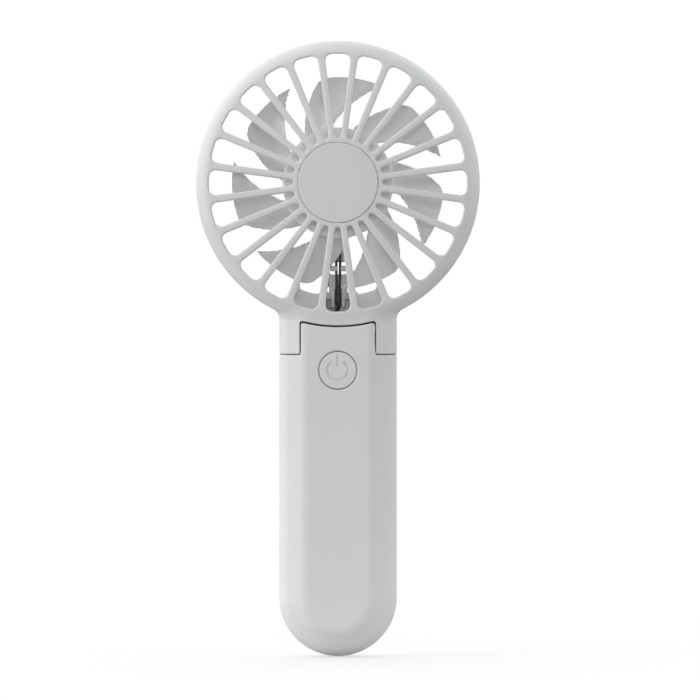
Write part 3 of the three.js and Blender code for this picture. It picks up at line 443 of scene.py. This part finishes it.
def usb_port(x, y, z):
    lo, hi = box_mm("usb_port")
    outer = round_and(slab(y, lo[1], hi[1]), slab(z, lo[2], hi[2]), 1.0)
    outer = round_and(outer, slab(x, lo[0], hi[0]), 0.12)
    hollow = round_and(slab(y, lo[1] + 0.35, hi[1] - 0.35), slab(z, lo[2] + 0.35, hi[2] - 0.35), 0.75)
    hollow = np.maximum(hollow, lo[0] + 1.2 - x)
    cz = middle("usb_port")[2]
    reach = np.maximum(np.abs(z - cz) - 2.4, x - hi[0] + 1)
    tongue = round_and(slab(y, lo[1] + 1.6, lo[1] + 2.0), reach, 0.1)
    return np.minimum(carve(outer, hollow, 0.08), np.maximum(tongue, lo[0] + 1 - x))


def battery_cradle(x, y, z):
    lo, hi = box_mm("battery_cradle")
    ax, d = np.abs(x), outline(x, z)
    chamfer = ((d + 10.8) * 4 - (y - lo[1]) * 5.8) / math.hypot(4, 5.8)
    block = all_of(slab(z, lo[2], hi[2]), slab(y, lo[1], hi[1]), ax - hi[0])
    block = round_and(block, np.maximum(d + 5, chamfer), 0.4)
    bed = any_of(rod(x, y, 0, CELL_Y, 9.6), np.maximum(ax - 9.6, CELL_Y - y))
    block = carve(block, np.maximum(bed, slab(z, 12.8, 82.2)), 0.4)
    block = carve(block, all_of(slab(z, 40, 58), -1.5 - y), 0.8)
    return np.maximum(block, -all_of(slab(x, -3.2, 0.5), slab(y, -9, -4.6), 80 - z))


# ---- meshes -----------------------------------------------------------------------------------------


def gradient(field, p, step=0.02):
    g = np.empty_like(p)
    for a in range(3):
        e = np.zeros(3)
        e[a] = step
        g[:, a] = field(*(p + e).T) - field(*(p - e).T)
    return g / (2 * step)


def sample(field, axes):
    """The field on a grid, in batches that fit in memory."""
    value = np.empty([len(v) for v in axes], np.float32)
    y, z = axes[1][None, :, None], axes[2][None, None, :]
    for i in range(0, len(axes[0]), 24):
        x = axes[0][i : i + 24][:, None, None]
        value[i : i + 24] = field(*np.broadcast_arrays(x, y, z))
    return value


def cell_points(value, cells):
    """In each cell, the mean of the places where its edges cross the surface, in cell units."""
    corners = [(a, b, c) for a in (0, 1) for b in (0, 1) for c in (0, 1)]
    at = {o: value[tuple((cells + o).T)].astype(float) for o in corners}
    place, hits = np.zeros((len(cells), 3)), np.zeros(len(cells))
    for o in corners:
        for a in (k for k in range(3) if not o[k]):
            v0, v1 = at[o], at[tuple(1 if k == a else o[k] for k in range(3))]
            cross = (v0 < 0) != (v1 < 0)
            p = np.tile(np.array(o, float), (len(cells), 1))
            p[:, a] += np.where(cross, v0 / np.where(cross, v0 - v1, 1), 0)
            place += p * cross[:, None]
            hits += cross
    return place / hits[:, None]


def grid_quads(inside, number):
    """A quad round each grid edge that crosses the surface, from the cells' point numbers."""
    quads = []
    for a in range(3):
        b, c = (a + 1) % 3, (a + 2) % 3
        low = np.take(inside, range(inside.shape[a] - 1), a)
        high = np.take(inside, range(1, inside.shape[a]), a)
        edges = np.argwhere(low != high)
        out = low[tuple(edges.T)]
        ring = []
        for db, dc in ((-1, -1), (0, -1), (0, 0), (-1, 0)):
            e = edges.copy()
            e[:, b] += db
            e[:, c] += dc
            ring.append(number[tuple(e.T)])
        quad = np.stack(ring, 1)
        quad[~out] = quad[~out][:, ::-1]
        quads.append(quad)
    return np.concatenate(quads)


def surface(field, lo, hi, cell):
    """Points, quads and normals of the surface where the field is 0."""
    axes = [np.arange(lo[a] - 1.5 * cell, hi[a] + 2.5 * cell, cell) for a in range(3)]
    value = sample(field, axes)
    inside = value < 0
    total = np.zeros([len(v) - 1 for v in axes], np.int8)
    for o in np.ndindex(2, 2, 2):
        total += inside[tuple(slice(k, s - 1 + k) for k, s in zip(o, inside.shape))]
    cells = np.argwhere((total > 0) & (total < 8))
    number = np.full(total.shape, -1, np.int32)
    number[tuple(cells.T)] = np.arange(len(cells))
    start = np.array([v[0] for v in axes]) + (cells + cell_points(value, cells)) * cell
    p = start.copy()
    for _ in range(3):
        g = gradient(field, p)
        step = field(*p.T)[:, None] * g / np.maximum((g**2).sum(1, keepdims=True), 0.05)
        p = start + np.clip(p - step - start, -0.6 * cell, 0.6 * cell)
    g = gradient(field, p)
    return p, grid_quads(inside, number), g / np.maximum(np.linalg.norm(g, axis=1, keepdims=True), 1e-6)


def mesh_object(name, points, faces, normals=None):
    mesh = bpy.data.meshes.new(name)
    mesh.from_pydata((np.asarray(points) * MM).tolist(), [], [list(f) for f in np.asarray(faces).tolist()])
    mesh.shade_smooth()
    if normals is not None:
        mesh.normals_split_custom_set_from_vertices(np.asarray(normals).tolist())
    obj = bpy.data.objects.new(name, mesh)
    bpy.context.scene.collection.objects.link(obj)
    return obj


def moulded(node, field, cell):
    """A piece from its field, over the box of the CAD node that it replaces."""
    lo, hi = box_mm(node)
    return mesh_object("fine_" + node, *surface(field, lo - 0.3, hi + 0.3, cell))


def soften(corners, r, closed):
    """A profile whose corners are rounded to about radius r, except those on the axis."""
    pts = [np.array(c, float) for c in corners]
    out = []
    for i, p in enumerate(pts):
        if not closed and i in (0, len(pts) - 1):
            out.append(p)
            continue
        a, b = pts[i - 1] - p, pts[(i + 1) % len(pts)] - p
        reach = min(r, 0.45 * np.linalg.norm(a), 0.45 * np.linalg.norm(b))
        a, b = p + a / np.linalg.norm(a) * reach, p + b / np.linalg.norm(b) * reach
        out += [(1 - t) ** 2 * a + 2 * t * (1 - t) * p + t**2 * b for t in (0, 0.25, 0.5, 0.75, 1)]
    return out


def turned(node, corners, centre, axis, r=0.15, closed=False, sides=96):
    """A profile of (radius, place along the axis), turned about the line through centre."""
    profile = soften(corners, r, closed)
    angle = 2 * np.pi * np.arange(sides) / sides
    others = [k for k in range(3) if k != axis]
    points = np.zeros((len(profile), sides, 3))
    for i, (radius, along) in enumerate(profile):
        points[i, :, axis] = along
        points[i, :, others[0]] = centre[others[0]] + max(radius, 0.002) * np.cos(angle)
        points[i, :, others[1]] = centre[others[1]] + max(radius, 0.002) * np.sin(angle)
    rows = len(profile) if closed else len(profile) - 1
    i, j = np.meshgrid(np.arange(rows), np.arange(sides), indexing="ij")
    i2, j2 = (i + 1) % len(profile), (j + 1) % sides
    quads = np.stack([i * sides + j, i2 * sides + j, i2 * sides + j2, i * sides + j2], -1).reshape(-1, 4)
    obj = mesh_object("fine_" + node, points.reshape(-1, 3), quads)
    return face_out(obj)


def face_out(obj):
    """Turns a closed mesh's faces outwards."""
    mesh = obj.data
    mesh.calc_loop_triangles()
    p = np.empty(len(mesh.vertices) * 3)
    mesh.vertices.foreach_get("co", p)
    p = p.reshape(-1, 3)
    t = np.array([tri.vertices[:] for tri in mesh.loop_triangles])
    volume = np.einsum("ij,ij->", p[t[:, 0]], np.cross(p[t[:, 1]], p[t[:, 2]]))
    if volume < 0:
        mesh.flip_normals()
    return obj


def smooth_path(points, steps):
    """Evenly spaced points on a centripetal spline through the given points."""
    pts = np.array(points, float)
    pts = np.vstack([2 * pts[0] - pts[1], pts, 2 * pts[-1] - pts[-2]])
    out = []
    for p0, p1, p2, p3 in zip(pts, pts[1:], pts[2:], pts[3:]):
        spans = [np.linalg.norm(b - a) for a, b in ((p0, p1), (p1, p2), (p2, p3))]
        k = np.cumsum([0] + [max(span, 1e-6) ** 0.5 for span in spans])
        for t in np.linspace(k[1], k[2], 16, endpoint=False):
            a1 = ((k[1] - t) * p0 + (t - k[0]) * p1) / (k[1] - k[0])
            a2 = ((k[2] - t) * p1 + (t - k[1]) * p2) / (k[2] - k[1])
            a3 = ((k[3] - t) * p2 + (t - k[2]) * p3) / (k[3] - k[2])
            b1 = ((k[2] - t) * a1 + (t - k[0]) * a2) / (k[2] - k[0])
            b2 = ((k[3] - t) * a2 + (t - k[1]) * a3) / (k[3] - k[1])
            out.append(((k[2] - t) * b1 + (t - k[1]) * b2) / (k[2] - k[1]))
    out = np.array(out + [pts[-2]])
    run = np.concatenate([[0], np.cumsum(np.linalg.norm(np.diff(out, axis=0), axis=1))])
    at = np.linspace(0, run[-1], steps)
    return np.stack([np.interp(at, run, out[:, a]) for a in range(3)], 1)


def tube(node, points, r, steps, sides=16):
    """A round wire along a smooth path, with softened ends."""
    path = smooth_path(points, steps)
    along = np.gradient(path, axis=0)
    along /= np.linalg.norm(along, axis=1, keepdims=True)
    side = np.cross(along[0], [0.3, 0.5, 0.81])
    rings = []
    angle = 2 * np.pi * np.arange(sides) / sides
    ends = {0: [(0.02, 0), (0.75, 0.02), (1, 0.25)], len(path) - 1: [(1, -0.25), (0.75, -0.02), (0.02, 0)]}
    for i, (p, d) in enumerate(zip(path, along)):
        side = side - d * np.dot(side, d)
        side /= np.linalg.norm(side)
        up = np.cross(d, side)
        for scale, shift in ends.get(i, [(1, 0)]):
            wheel = np.outer(np.cos(angle), side) + np.outer(np.sin(angle), up)
            rings.append(p + d * shift * r + wheel * r * scale)
    i, j = np.meshgrid(np.arange(len(rings) - 1), np.arange(sides), indexing="ij")
    j2 = (j + 1) % sides
    quads = np.stack([i * sides + j, i * sides + j2, (i + 1) * sides + j2, (i + 1) * sides + j], -1)
    return face_out(mesh_object("fine_" + node, np.concatenate(rings), quads.reshape(-1, 4)))


# ---- materials ---------------------------------------------------------------------------------------


def new_material(name):
    m = bpy.data.materials.new(name)
    m.use_nodes = True
    tree = m.node_tree
    coords = tree.nodes.new("ShaderNodeTexCoord").outputs["Object"]
    return m, tree, tree.nodes["Principled BSDF"], coords


def noise(tree, coords, scale, detail=2.0, rough=0.5, stretch=(1, 1, 1)):
    mapping = tree.nodes.new("ShaderNodeMapping")
    mapping.inputs["Scale"].default_value = stretch
    tree.links.new(coords, mapping.inputs["Vector"])
    n = tree.nodes.new("ShaderNodeTexNoise")
    for key, value in (("Scale", scale), ("Detail", detail), ("Roughness", rough)):
        n.inputs[key].default_value = value
    tree.links.new(mapping.outputs["Vector"], n.inputs["Vector"])
    return n.outputs["Fac"]


def ramp(tree, fac, low, high, start=0.35, end=0.65):
    n = tree.nodes.new("ShaderNodeValToRGB")
    for element, place, color in zip(n.color_ramp.elements, (start, end), (low, high)):
        element.position, element.color = place, (*color, 1)
    tree.links.new(fac, n.inputs["Fac"])
    return n.outputs["Color"]


def spread(tree, fac, low, high):
    n = tree.nodes.new("ShaderNodeMapRange")
    n.inputs["From Min"].default_value, n.inputs["From Max"].default_value = 0.3, 0.7
    n.inputs["To Min"].default_value, n.inputs["To Max"].default_value = low, high
    tree.links.new(fac, n.inputs["Value"])
    return n.outputs["Result"]


def bump(tree, height, strength, distance, after=None):
    n = tree.nodes.new("ShaderNodeBump")
    n.inputs["Strength"].default_value, n.inputs["Distance"].default_value = strength, distance
    tree.links.new(height, n.inputs["Height"])
    if after is not None:
        tree.links.new(after, n.inputs["Normal"])
    return n.outputs["Normal"]


def tones(color, amount):
    c = np.array(color)
    return tuple(c * (1 - amount)), tuple(np.minimum(c * (1 + amount), 1))


def plastic(name, color, rough=0.5, grain=0.3, tint=0.015, glow=0.0):
    """Moulded plastic: a fine spark-eroded grain, faint flow marks and slight handling marks."""
    m, tree, shader, coords = new_material(name)
    flow = noise(tree, coords, 30, 3)
    tree.links.new(ramp(tree, flow, *tones(color, tint)), shader.inputs["Base Color"])
    marks = noise(tree, coords, 140, 4, 0.6)
    tree.links.new(spread(tree, marks, rough - 0.05, rough + 0.05), shader.inputs["Roughness"])
    soft = bump(tree, noise(tree, coords, 70), 0.06, 0.0003)
    fine = bump(tree, noise(tree, coords, 3600), grain, 0.00004, soft)
    tree.links.new(fine, shader.inputs["Normal"])
    shader.inputs["Specular IOR Level"].default_value = 0.4
    if glow:
        shader.inputs["Subsurface Weight"].default_value = glow
        shader.inputs["Subsurface Radius"].default_value = (1, 1, 0.97)
        shader.inputs["Subsurface Scale"].default_value = 0.003
    return m


def metal(name, color, rough=0.3, grain_along=(1, 1, 1), dull=0.14):
    """Plated or turned metal, with fine marks along one direction and slightly duller patches."""
    m, tree, shader, coords = new_material(name)
    shader.inputs["Metallic"].default_value = 1
    c = np.array(color)
    patches = noise(tree, coords, 260, 4)
    tree.links.new(ramp(tree, patches, tuple(c * (1 - dull)), color), shader.inputs["Base Color"])
    fine = noise(tree, coords, 1800, 3, stretch=grain_along)
    tree.links.new(spread(tree, fine, rough - 0.06, rough + 0.08), shader.inputs["Roughness"])
    tree.links.new(bump(tree, fine, 0.12, 0.00003), shader.inputs["Normal"])
    return m


def board_finish(name):
    """Solder mask over faint copper areas and tracks."""
    m, tree, shader, coords = new_material(name)
    areas = tree.nodes.new("ShaderNodeTexVoronoi")
    areas.distance = "MANHATTAN"
    areas.inputs["Scale"].default_value = 420
    tree.links.new(coords, areas.inputs["Vector"])
    distance = areas.outputs["Distance"]
    color = ramp(tree, distance, (0.02, 0.14, 0.06), (0.05, 0.26, 0.12), 0.2, 0.32)
    tree.links.new(color, shader.inputs["Base Color"])
    tree.links.new(bump(tree, distance, 0.2, 0.00004), shader.inputs["Normal"])
    shader.inputs["Roughness"].default_value = 0.32
    return m


def sleeve_finish(name, color, rough=0.32):
    """A shrunk or drawn plastic sleeve: satin, with fine lengthwise tension marks."""
    m, tree, shader, coords = new_material(name)
    lines = noise(tree, coords, 900, 3, stretch=(1, 1, 0.04))
    tree.links.new(ramp(tree, lines, *tones(color, 0.06)), shader.inputs["Base Color"])
    tree.links.new(bump(tree, lines, 0.1, 0.00005), shader.inputs["Normal"])
    wear = noise(tree, coords, 150, 3)
    tree.links.new(spread(tree, wear, rough - 0.06, rough + 0.08), shader.inputs["Roughness"])
    return m


FINISHES = {
    "shell": plastic("shell_plastic", (0.85, 0.862, 0.858), 0.5),
    "disc": plastic("disc_plastic", (0.84, 0.852, 0.848), 0.5, grain=0.2),
    "key": plastic("key_plastic", (0.84, 0.852, 0.848), 0.47, grain=0.2),
    "impeller": plastic("impeller_plastic", (0.95, 0.957, 0.953), 0.46, grain=0.12, glow=0.25),
    "cradle": plastic("cradle_plastic", (0.7, 0.71, 0.705), 0.55),
    "dark": plastic("dark_plastic", (0.03, 0.031, 0.034), 0.45, tint=0.12),
    "white": plastic("white_plastic", (0.78, 0.79, 0.78), 0.4),
    "ferrite": plastic("ferrite", (0.035, 0.035, 0.038), 0.7, grain=0.8, tint=0.2),
    "steel": metal("plated_steel", (0.62, 0.63, 0.65), 0.28),
    "turned": metal("turned_steel", (0.6, 0.61, 0.63), 0.26, (1, 6, 1)),
    "brass": metal("brass", (0.72, 0.55, 0.26), 0.3),
    "board": board_finish("solder_mask"),
    "green": sleeve_finish("cell_sleeve", (0.17, 0.52, 0.2)),
    "lead": sleeve_finish("dark_lead", (0.04, 0.042, 0.045), 0.42),
    "red": sleeve_finish("red_lead", (0.45, 0.03, 0.025), 0.42),
}


def settle(obj, node, slot_name, finish):
    """Puts a piece in a CAD node's stead."""
    obj.data.materials.append(FINISHES[finish])
    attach(obj, BODY_OF[node])
    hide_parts(node)


def refinish(node, finish, edge=0.12):
    """Keeps a CAD node, with its edges softened and a finish of its own."""
    obj = frame["nodes"][node]
    bevel = obj.modifiers.new("edges", "BEVEL")
    bevel.width, bevel.segments, bevel.limit_method = edge * MM, 3, "ANGLE"
    bevel.harden_normals = True
    for place in obj.material_slots:
        place.material = FINISHES[finish]


# ---- the pieces ---------------------------------------------------------------------------------------


def make_moulded():
    shells = [
        ("front_grille", front_grille, 0.55, "shell", "shell"),
        ("rear_grille", rear_grille, 0.6, "shell", "shell"),
        ("hub_cap", hub_cap, 0.3, "shell", "disc"),
        ("handle_front_shell", handle_front_shell, 0.5, "shell", "shell"),
        ("handle_rear_shell", handle_rear_shell, 0.5, "shell", "shell"),
        ("battery_cover", battery_cover, 0.3, "shell", "shell"),
        ("power_button", power_button, 0.14, "shell", "key"),
        ("impeller", impeller, 0.46, "impeller", "impeller"),
        ("battery_cradle", battery_cradle, 0.5, "cradle", "cradle"),
        ("usb_port", usb_port, 0.12, "steel", "steel"),
    ]
    shells += [(n, screw(n), 0.13, "steel", "steel") for n in HANDLE_SCREWS + HEAD_SCREWS]
    for node, field, cell, slot_name, finish in shells:
        settle(moulded(node, field, cell), node, slot_name, finish)


def along(node, axis):
    lo, hi = box_mm(node)
    return float(lo[axis]), float(hi[axis])


def radius(node, axis):
    lo, hi = box_mm(node)
    return float((hi - lo)[2 if axis != 2 else 0] / 2)


def ring(node, inner, axis, centre, slot_name, finish, soft=0.12):
    """A plain ring or sleeve the size of its CAD node."""
    a, b = along(node, axis)
    outer = radius(node, axis)
    corners = [(inner, a), (outer, a), (outer, b), (inner, b)]
    settle(turned(node, corners, centre, axis, soft, closed=True), node, slot_name, finish)


def make_hinge():
    centre = (0, HINGE_Y, HINGE_Z)
    for side, place in ((-1, "left"), (1, "right")):
        node = "hinge_pin_" + place
        bore, shank, flange = 1.75, 2.6, radius(node, 0)
        a, b, c = 9.4 * side, 15.7 * side, 16.7 * side
        corners = [(bore, a), (shank, a), (shank, b), (flange, b), (flange, c), (bore, c)]
        settle(turned(node, corners, centre, 0, 0.25, closed=True), node, "steel", "steel")
        ring("friction_washer_" + place, BORE_R, 0, centre, "brass", "brass", 0.08)


def make_motor():
    centre = (0, 0, HEAD_Z)
    front, rear = along("motor_can", 1)
    r, shell = radius("motor_can", 1), 0.7
    can = [(2.6, front), (r, front), (r, rear), (r - shell, rear)]
    can += [(r - shell, front + 0.8), (2.6, front + 0.8)]
    settle(turned("motor_can", can, centre, 1, 0.7, closed=True), "motor_can", "steel", "steel")
    ring("motor_magnet_ring", 9.4, 1, centre, "magnet", "ferrite")
    ring("motor_front_bush", 1.15, 1, centre, "brass", "brass")
    ring("motor_rear_bush", 1.15, 1, centre, "brass", "brass")
    ring("motor_commutator", 1.25, 1, centre, "brass", "brass")
    front, rear = along("motor_end_cap", 1)
    r, step = radius("motor_end_cap", 1), rear - 0.6
    cap = [(2.3, front), (r, front), (r, step), (4, step), (4, rear), (2.3, rear)]
    piece = turned("motor_end_cap", cap, centre, 1, 0.25, closed=True)
    settle(piece, "motor_end_cap", "dark_plastic", "dark")
    a, b = along("motor_shaft", 1)
    r = radius("motor_shaft", 1)
    shaft = turned("motor_shaft", [(0, a), (r, a), (r, b), (0, b)], centre, 1, 0.2)
    settle(shaft, "motor_shaft", "steel", "turned")


def cell_side(r, top):
    """The rolled groove and the rounded rim of the can, from below the groove to the top."""
    deep, low, tall, bend = 0.45, top - 4.8, 1.6, 0.75
    groove = [(r - deep * math.sin(math.pi * t) ** 2, low + tall * t) for t in np.linspace(0, 1, 13)]
    turn = np.linspace(0, math.pi / 2, 7)
    rim = [(r - bend + bend * math.cos(a), top - bend + bend * math.sin(a)) for a in turn]
    return groove + rim


def make_cell():
    centre = (0, CELL_Y, 0)
    bottom, top = along("cell_wrapper", 2)
    inner = CELL_R - 0.2
    outside = [(7.4, bottom), (CELL_R - 0.5, bottom), (CELL_R, bottom + 0.5)]
    outside += cell_side(CELL_R, top) + [(6.6, top)]
    inside = [(6.6, top - 0.1)] + cell_side(inner, top - 0.12)[::-1]
    inside += [(inner, bottom + 0.6), (inner - 0.5, bottom + 0.1), (7.4, bottom + 0.1)]
    sleeve = turned("cell_wrapper", outside + inside, centre, 2, 0.04, closed=True, sides=128)
    settle(sleeve, "cell_wrapper", "cell_sleeve", "green")
    bottom, top = along("cell_can", 2)
    r = radius("cell_can", 2)
    can = [(0, bottom), (r - 0.6, bottom), (r, bottom + 0.6)] + cell_side(r, top)
    can += [(5.6, top), (5.6, top - 1), (0, top - 1)]
    settle(turned("cell_can", can, centre, 2, 0.1), "cell_can", "steel", "steel")
    ring("cell_insulator_ring", 4.5, 2, centre, "white_plastic", "white", 0.1)
    bottom, top = along("cell_positive_cap", 2)
    cap = [(0, bottom), (4.2, bottom), (4.2, top - 0.6), (3.2, top), (0, top)]
    settle(turned("cell_positive_cap", cap, centre, 2, 0.2), "cell_positive_cap", "steel", "steel")


def make_switch_parts():
    centre = (0, 0, BUTTON_Z)
    a, b = along("switch_plunger", 1)
    r = radius("switch_plunger", 1)
    plunger = turned("switch_plunger", [(0, a), (r, a), (r, b), (0, b)], centre, 1, 0.3)
    settle(plunger, "switch_plunger", "dark_plastic", "dark")
    a, b = along("charge_light_pipe", 0)
    r = radius("charge_light_pipe", 0)
    pipe = turned("charge_light_pipe", [(0, a), (r, a), (r, b), (0, b)], middle("charge_light_pipe"), 0, 0.25)
    settle(pipe, "charge_light_pipe", "white_plastic", "white")


LEAD_R = 0.48


def upper_lead(side):
    """From the motor down the rear rib, through the neck and the left arm to the hinge's axis."""
    rib, pair = 0.72 * side, 0.56 * side
    return [
        (side * 5, 13.4, HEAD_Z - 7.7),
        (side * 2.6, 13.4, HEAD_Z - 10),
        (rib, 13.2, HEAD_Z - 12.6),
        (rib, 12.2, HEAD_Z - 15.2),
        (rib, 10.6, HEAD_Z - 18.5),
        (rib, 10.5, HEAD_Z - 30),
        (pair, 10.5, HEAD_Z - 38),
        (pair, 10.3, 130),
        (0.42 * side, 9.6 + 0.46 * side, 127.6),
        (-1.4, 8.4 + 0.62 * side, 126.1),
        (-4, 7.2 + pair, 125.8),
        (-9, 6.4 + pair, 125.8),
        (-13.5, 6 + pair, 125.8),
        (-16.2, 6 + pair, 125.1),
        (-17.4, 6 + pair, 123.4),
        (-17.65, 6 + pair, 120.5),
        (-17.5, 6 + pair, 118),
        (-16.9, 6 + pair, 116.95),
        (-15.6, 6 + pair, 116.5),
        (-13.8, 6 + pair, 116.5),
    ]


def lower_lead(side):
    """From inside the hinge pin to the socket on the board."""
    pair, apart = 0.56 * side, 1.1 * side
    return [
        (-13.4, 6 + pair, 116.5),
        (-10.6, 6 + pair, 116.5),
        (-8.8 + pair, 5.6 + pair, 116.2),
        (-7.9 + pair, 3.4, 115.2),
        (-7.9 + pair, 0.9, 113),
        (-8.9 + 0.8 * side, -0.3, 109),
        (-11 + apart, -0.4, 105),
        (-11 + apart, -0.4, 99.8),
    ]


RED_LEAD = [(-0.6, -6.1, 81.6), (-1.4, -6.8, 83), (-3, -6.2, 86), (-4, -5, 89), (-4, -4.3, 91.5)]
BLACK_LEAD = [
    (-5.7, 1.5, 13.6),
    (-9.2, 5.4, 13.6),
    (-11.7, 4.8, 15.5),
    (-11.75, 0, 20),
    (-11.75, -2, 30),
    (-11.75, -2, 55),
    (-11.75, -2, 80),
    (-11.3, -3.6, 86),
    (-9, -4.2, 89.5),
    (-8.4, -4.3, 91.5),
]


def make_leads():
    for side, place in ((-1, "left"), (1, "right")):
        for node, route in (("motor_lead_" + place, upper_lead), ("motor_lead_%s_lower" % place, lower_lead)):
            settle(tube(node, route(side), LEAD_R, 120), node, "dark_sleeve", "lead")
    settle(tube("battery_lead_red", RED_LEAD, LEAD_R, 40), "battery_lead_red", "red_sleeve", "red")
    settle(tube("battery_lead_black", BLACK_LEAD, LEAD_R, 120), "battery_lead_black", "dark_sleeve", "lead")
    turns, bottom, top = 3.5, 13.4, 14.9
    coil = []
    for t in np.linspace(0, 1, 57):
        a, r = 2 * math.pi * turns * t, 5.2 - 3 * t
        coil.append((r * math.cos(a), CELL_Y + r * math.sin(a), bottom + (top - bottom) * t))
    node = "contact_spring_negative"
    settle(tube(node, coil, 0.28, 200, 12), node, "steel", "steel")


def refinish_plain():
    refinish("contact_plate_positive", "steel", 0.08)
    refinish("control_board", "board", 0.1)
    refinish("tact_switch", "dark", 0.2)
    refinish("charge_chip", "dark", 0.12)
    refinish("boost_coil", "dark", 0.5)
    refinish("motor_lead_socket", "white", 0.2)
    refinish("motor_terminal_left", "brass", 0.1)
    refinish("motor_terminal_right", "brass", 0.1)
    refinish("motor_armature", "turned", 0.1)


# ---- camera, light and stage --------------------------------------------------------------------------


def area_light(name, place, size, power, target=(0, 0, 0.12)):
    data = bpy.data.lights.new(name, "AREA")
    data.shape, data.size, data.energy = "DISK", size, power
    obj = bpy.data.objects.new(name, data)
    obj.location = place
    obj.rotation_euler = (Vector(target) - Vector(place)).to_track_quat("-Z", "Y").to_euler()
    bpy.context.scene.collection.objects.link(obj)


def add_camera():
    data = bpy.data.cameras.new("camera")
    distance, across = 2.6, 0.2571
    data.sensor_width = 36
    data.lens = data.sensor_width * distance / across
    turn, tilt = math.radians(0.2), math.radians(0.7)
    aim = Vector((0.0044, 0.0, 0.1122))
    back = Vector((math.sin(turn) * math.cos(tilt), -math.cos(turn) * math.cos(tilt), math.sin(tilt)))
    obj = bpy.data.objects.new("camera", data)
    obj.location = aim + back * distance
    obj.rotation_euler = (-back).to_track_quat("-Z", "Y").to_euler()
    bpy.context.scene.collection.objects.link(obj)
    bpy.context.scene.camera = obj


def glow_to_camera(tree, strength):
    """White where the camera sees it directly. The light that it gives has the given strength."""
    path = tree.nodes.new("ShaderNodeLightPath")
    value = tree.nodes.new("ShaderNodeMapRange")
    value.inputs["To Max"].default_value = 1.02
    if isinstance(strength, float):
        value.inputs["To Min"].default_value = strength
    else:
        tree.links.new(strength, value.inputs["To Min"])
    tree.links.new(path.outputs["Is Camera Ray"], value.inputs["Value"])
    return value.outputs["Result"]


def add_floor():
    size = 4000
    corners = [(-size, -size, -0.3), (size, -size, -0.3), (size, size, -0.3), (-size, size, -0.3)]
    floor = mesh_object("floor", corners, [(0, 1, 2, 3)])
    m, tree, shader, coords = new_material("floor_white")
    shader.inputs["Base Color"].default_value = (0.93, 0.93, 0.93, 1)
    shader.inputs["Roughness"].default_value = 0.9
    far = tree.nodes.new("ShaderNodeVectorMath")
    far.operation = "LENGTH"
    tree.links.new(coords, far.inputs[0])
    fade = tree.nodes.new("ShaderNodeMapRange")
    fade.interpolation_type = "SMOOTHSTEP"
    fade.inputs["From Min"].default_value, fade.inputs["From Max"].default_value = 0.03, 0.32
    fade.inputs["To Min"].default_value = 0.55
    tree.links.new(far.outputs["Value"], fade.inputs["Value"])
    glow = tree.nodes.new("ShaderNodeEmission")
    tree.links.new(glow_to_camera(tree, 0.2), glow.inputs["Strength"])
    mix = tree.nodes.new("ShaderNodeMixShader")
    tree.links.new(fade.outputs["Result"], mix.inputs["Fac"])
    tree.links.new(shader.outputs["BSDF"], mix.inputs[1])
    tree.links.new(glow.outputs["Emission"], mix.inputs[2])
    tree.links.new(mix.outputs["Shader"], tree.nodes["Material Output"].inputs["Surface"])
    floor.data.materials.append(m)


def add_world():
    world = bpy.data.worlds.new("world")
    bpy.context.scene.world = world
    world.use_nodes = True
    tree = world.node_tree
    background = tree.nodes["Background"]
    background.inputs["Color"].default_value = (1, 1, 1, 1)
    towards = tree.nodes.new("ShaderNodeVectorMath")
    towards.operation = "DOT_PRODUCT"
    towards.inputs[1].default_value = (-0.4, 0.85, 0.1)
    tree.links.new(tree.nodes.new("ShaderNodeTexCoord").outputs["Generated"], towards.inputs[0])
    around = tree.nodes.new("ShaderNodeMapRange")
    around.inputs["From Min"].default_value, around.inputs["From Max"].default_value = -1, 0.4
    around.inputs["To Min"].default_value, around.inputs["To Max"].default_value = 0.06, 1.25
    tree.links.new(towards.outputs["Value"], around.inputs["Value"])
    tree.links.new(glow_to_camera(tree, around.outputs["Result"]), background.inputs["Strength"])


add_camera()
add_floor()
add_world()
area_light("key_left", (-1.35, -0.45, 0.25), 0.6, 6)
area_light("fill_right", (1.3, -0.45, 0.35), 0.6, 3)
area_light("front_high", (0.0, -1.6, 0.5), 0.3, 3.3)
bpy.context.scene.view_settings.view_transform = "Standard"

make_moulded()
make_hinge()
make_motor()
make_cell()
make_switch_parts()
make_leads()
refinish_plain()
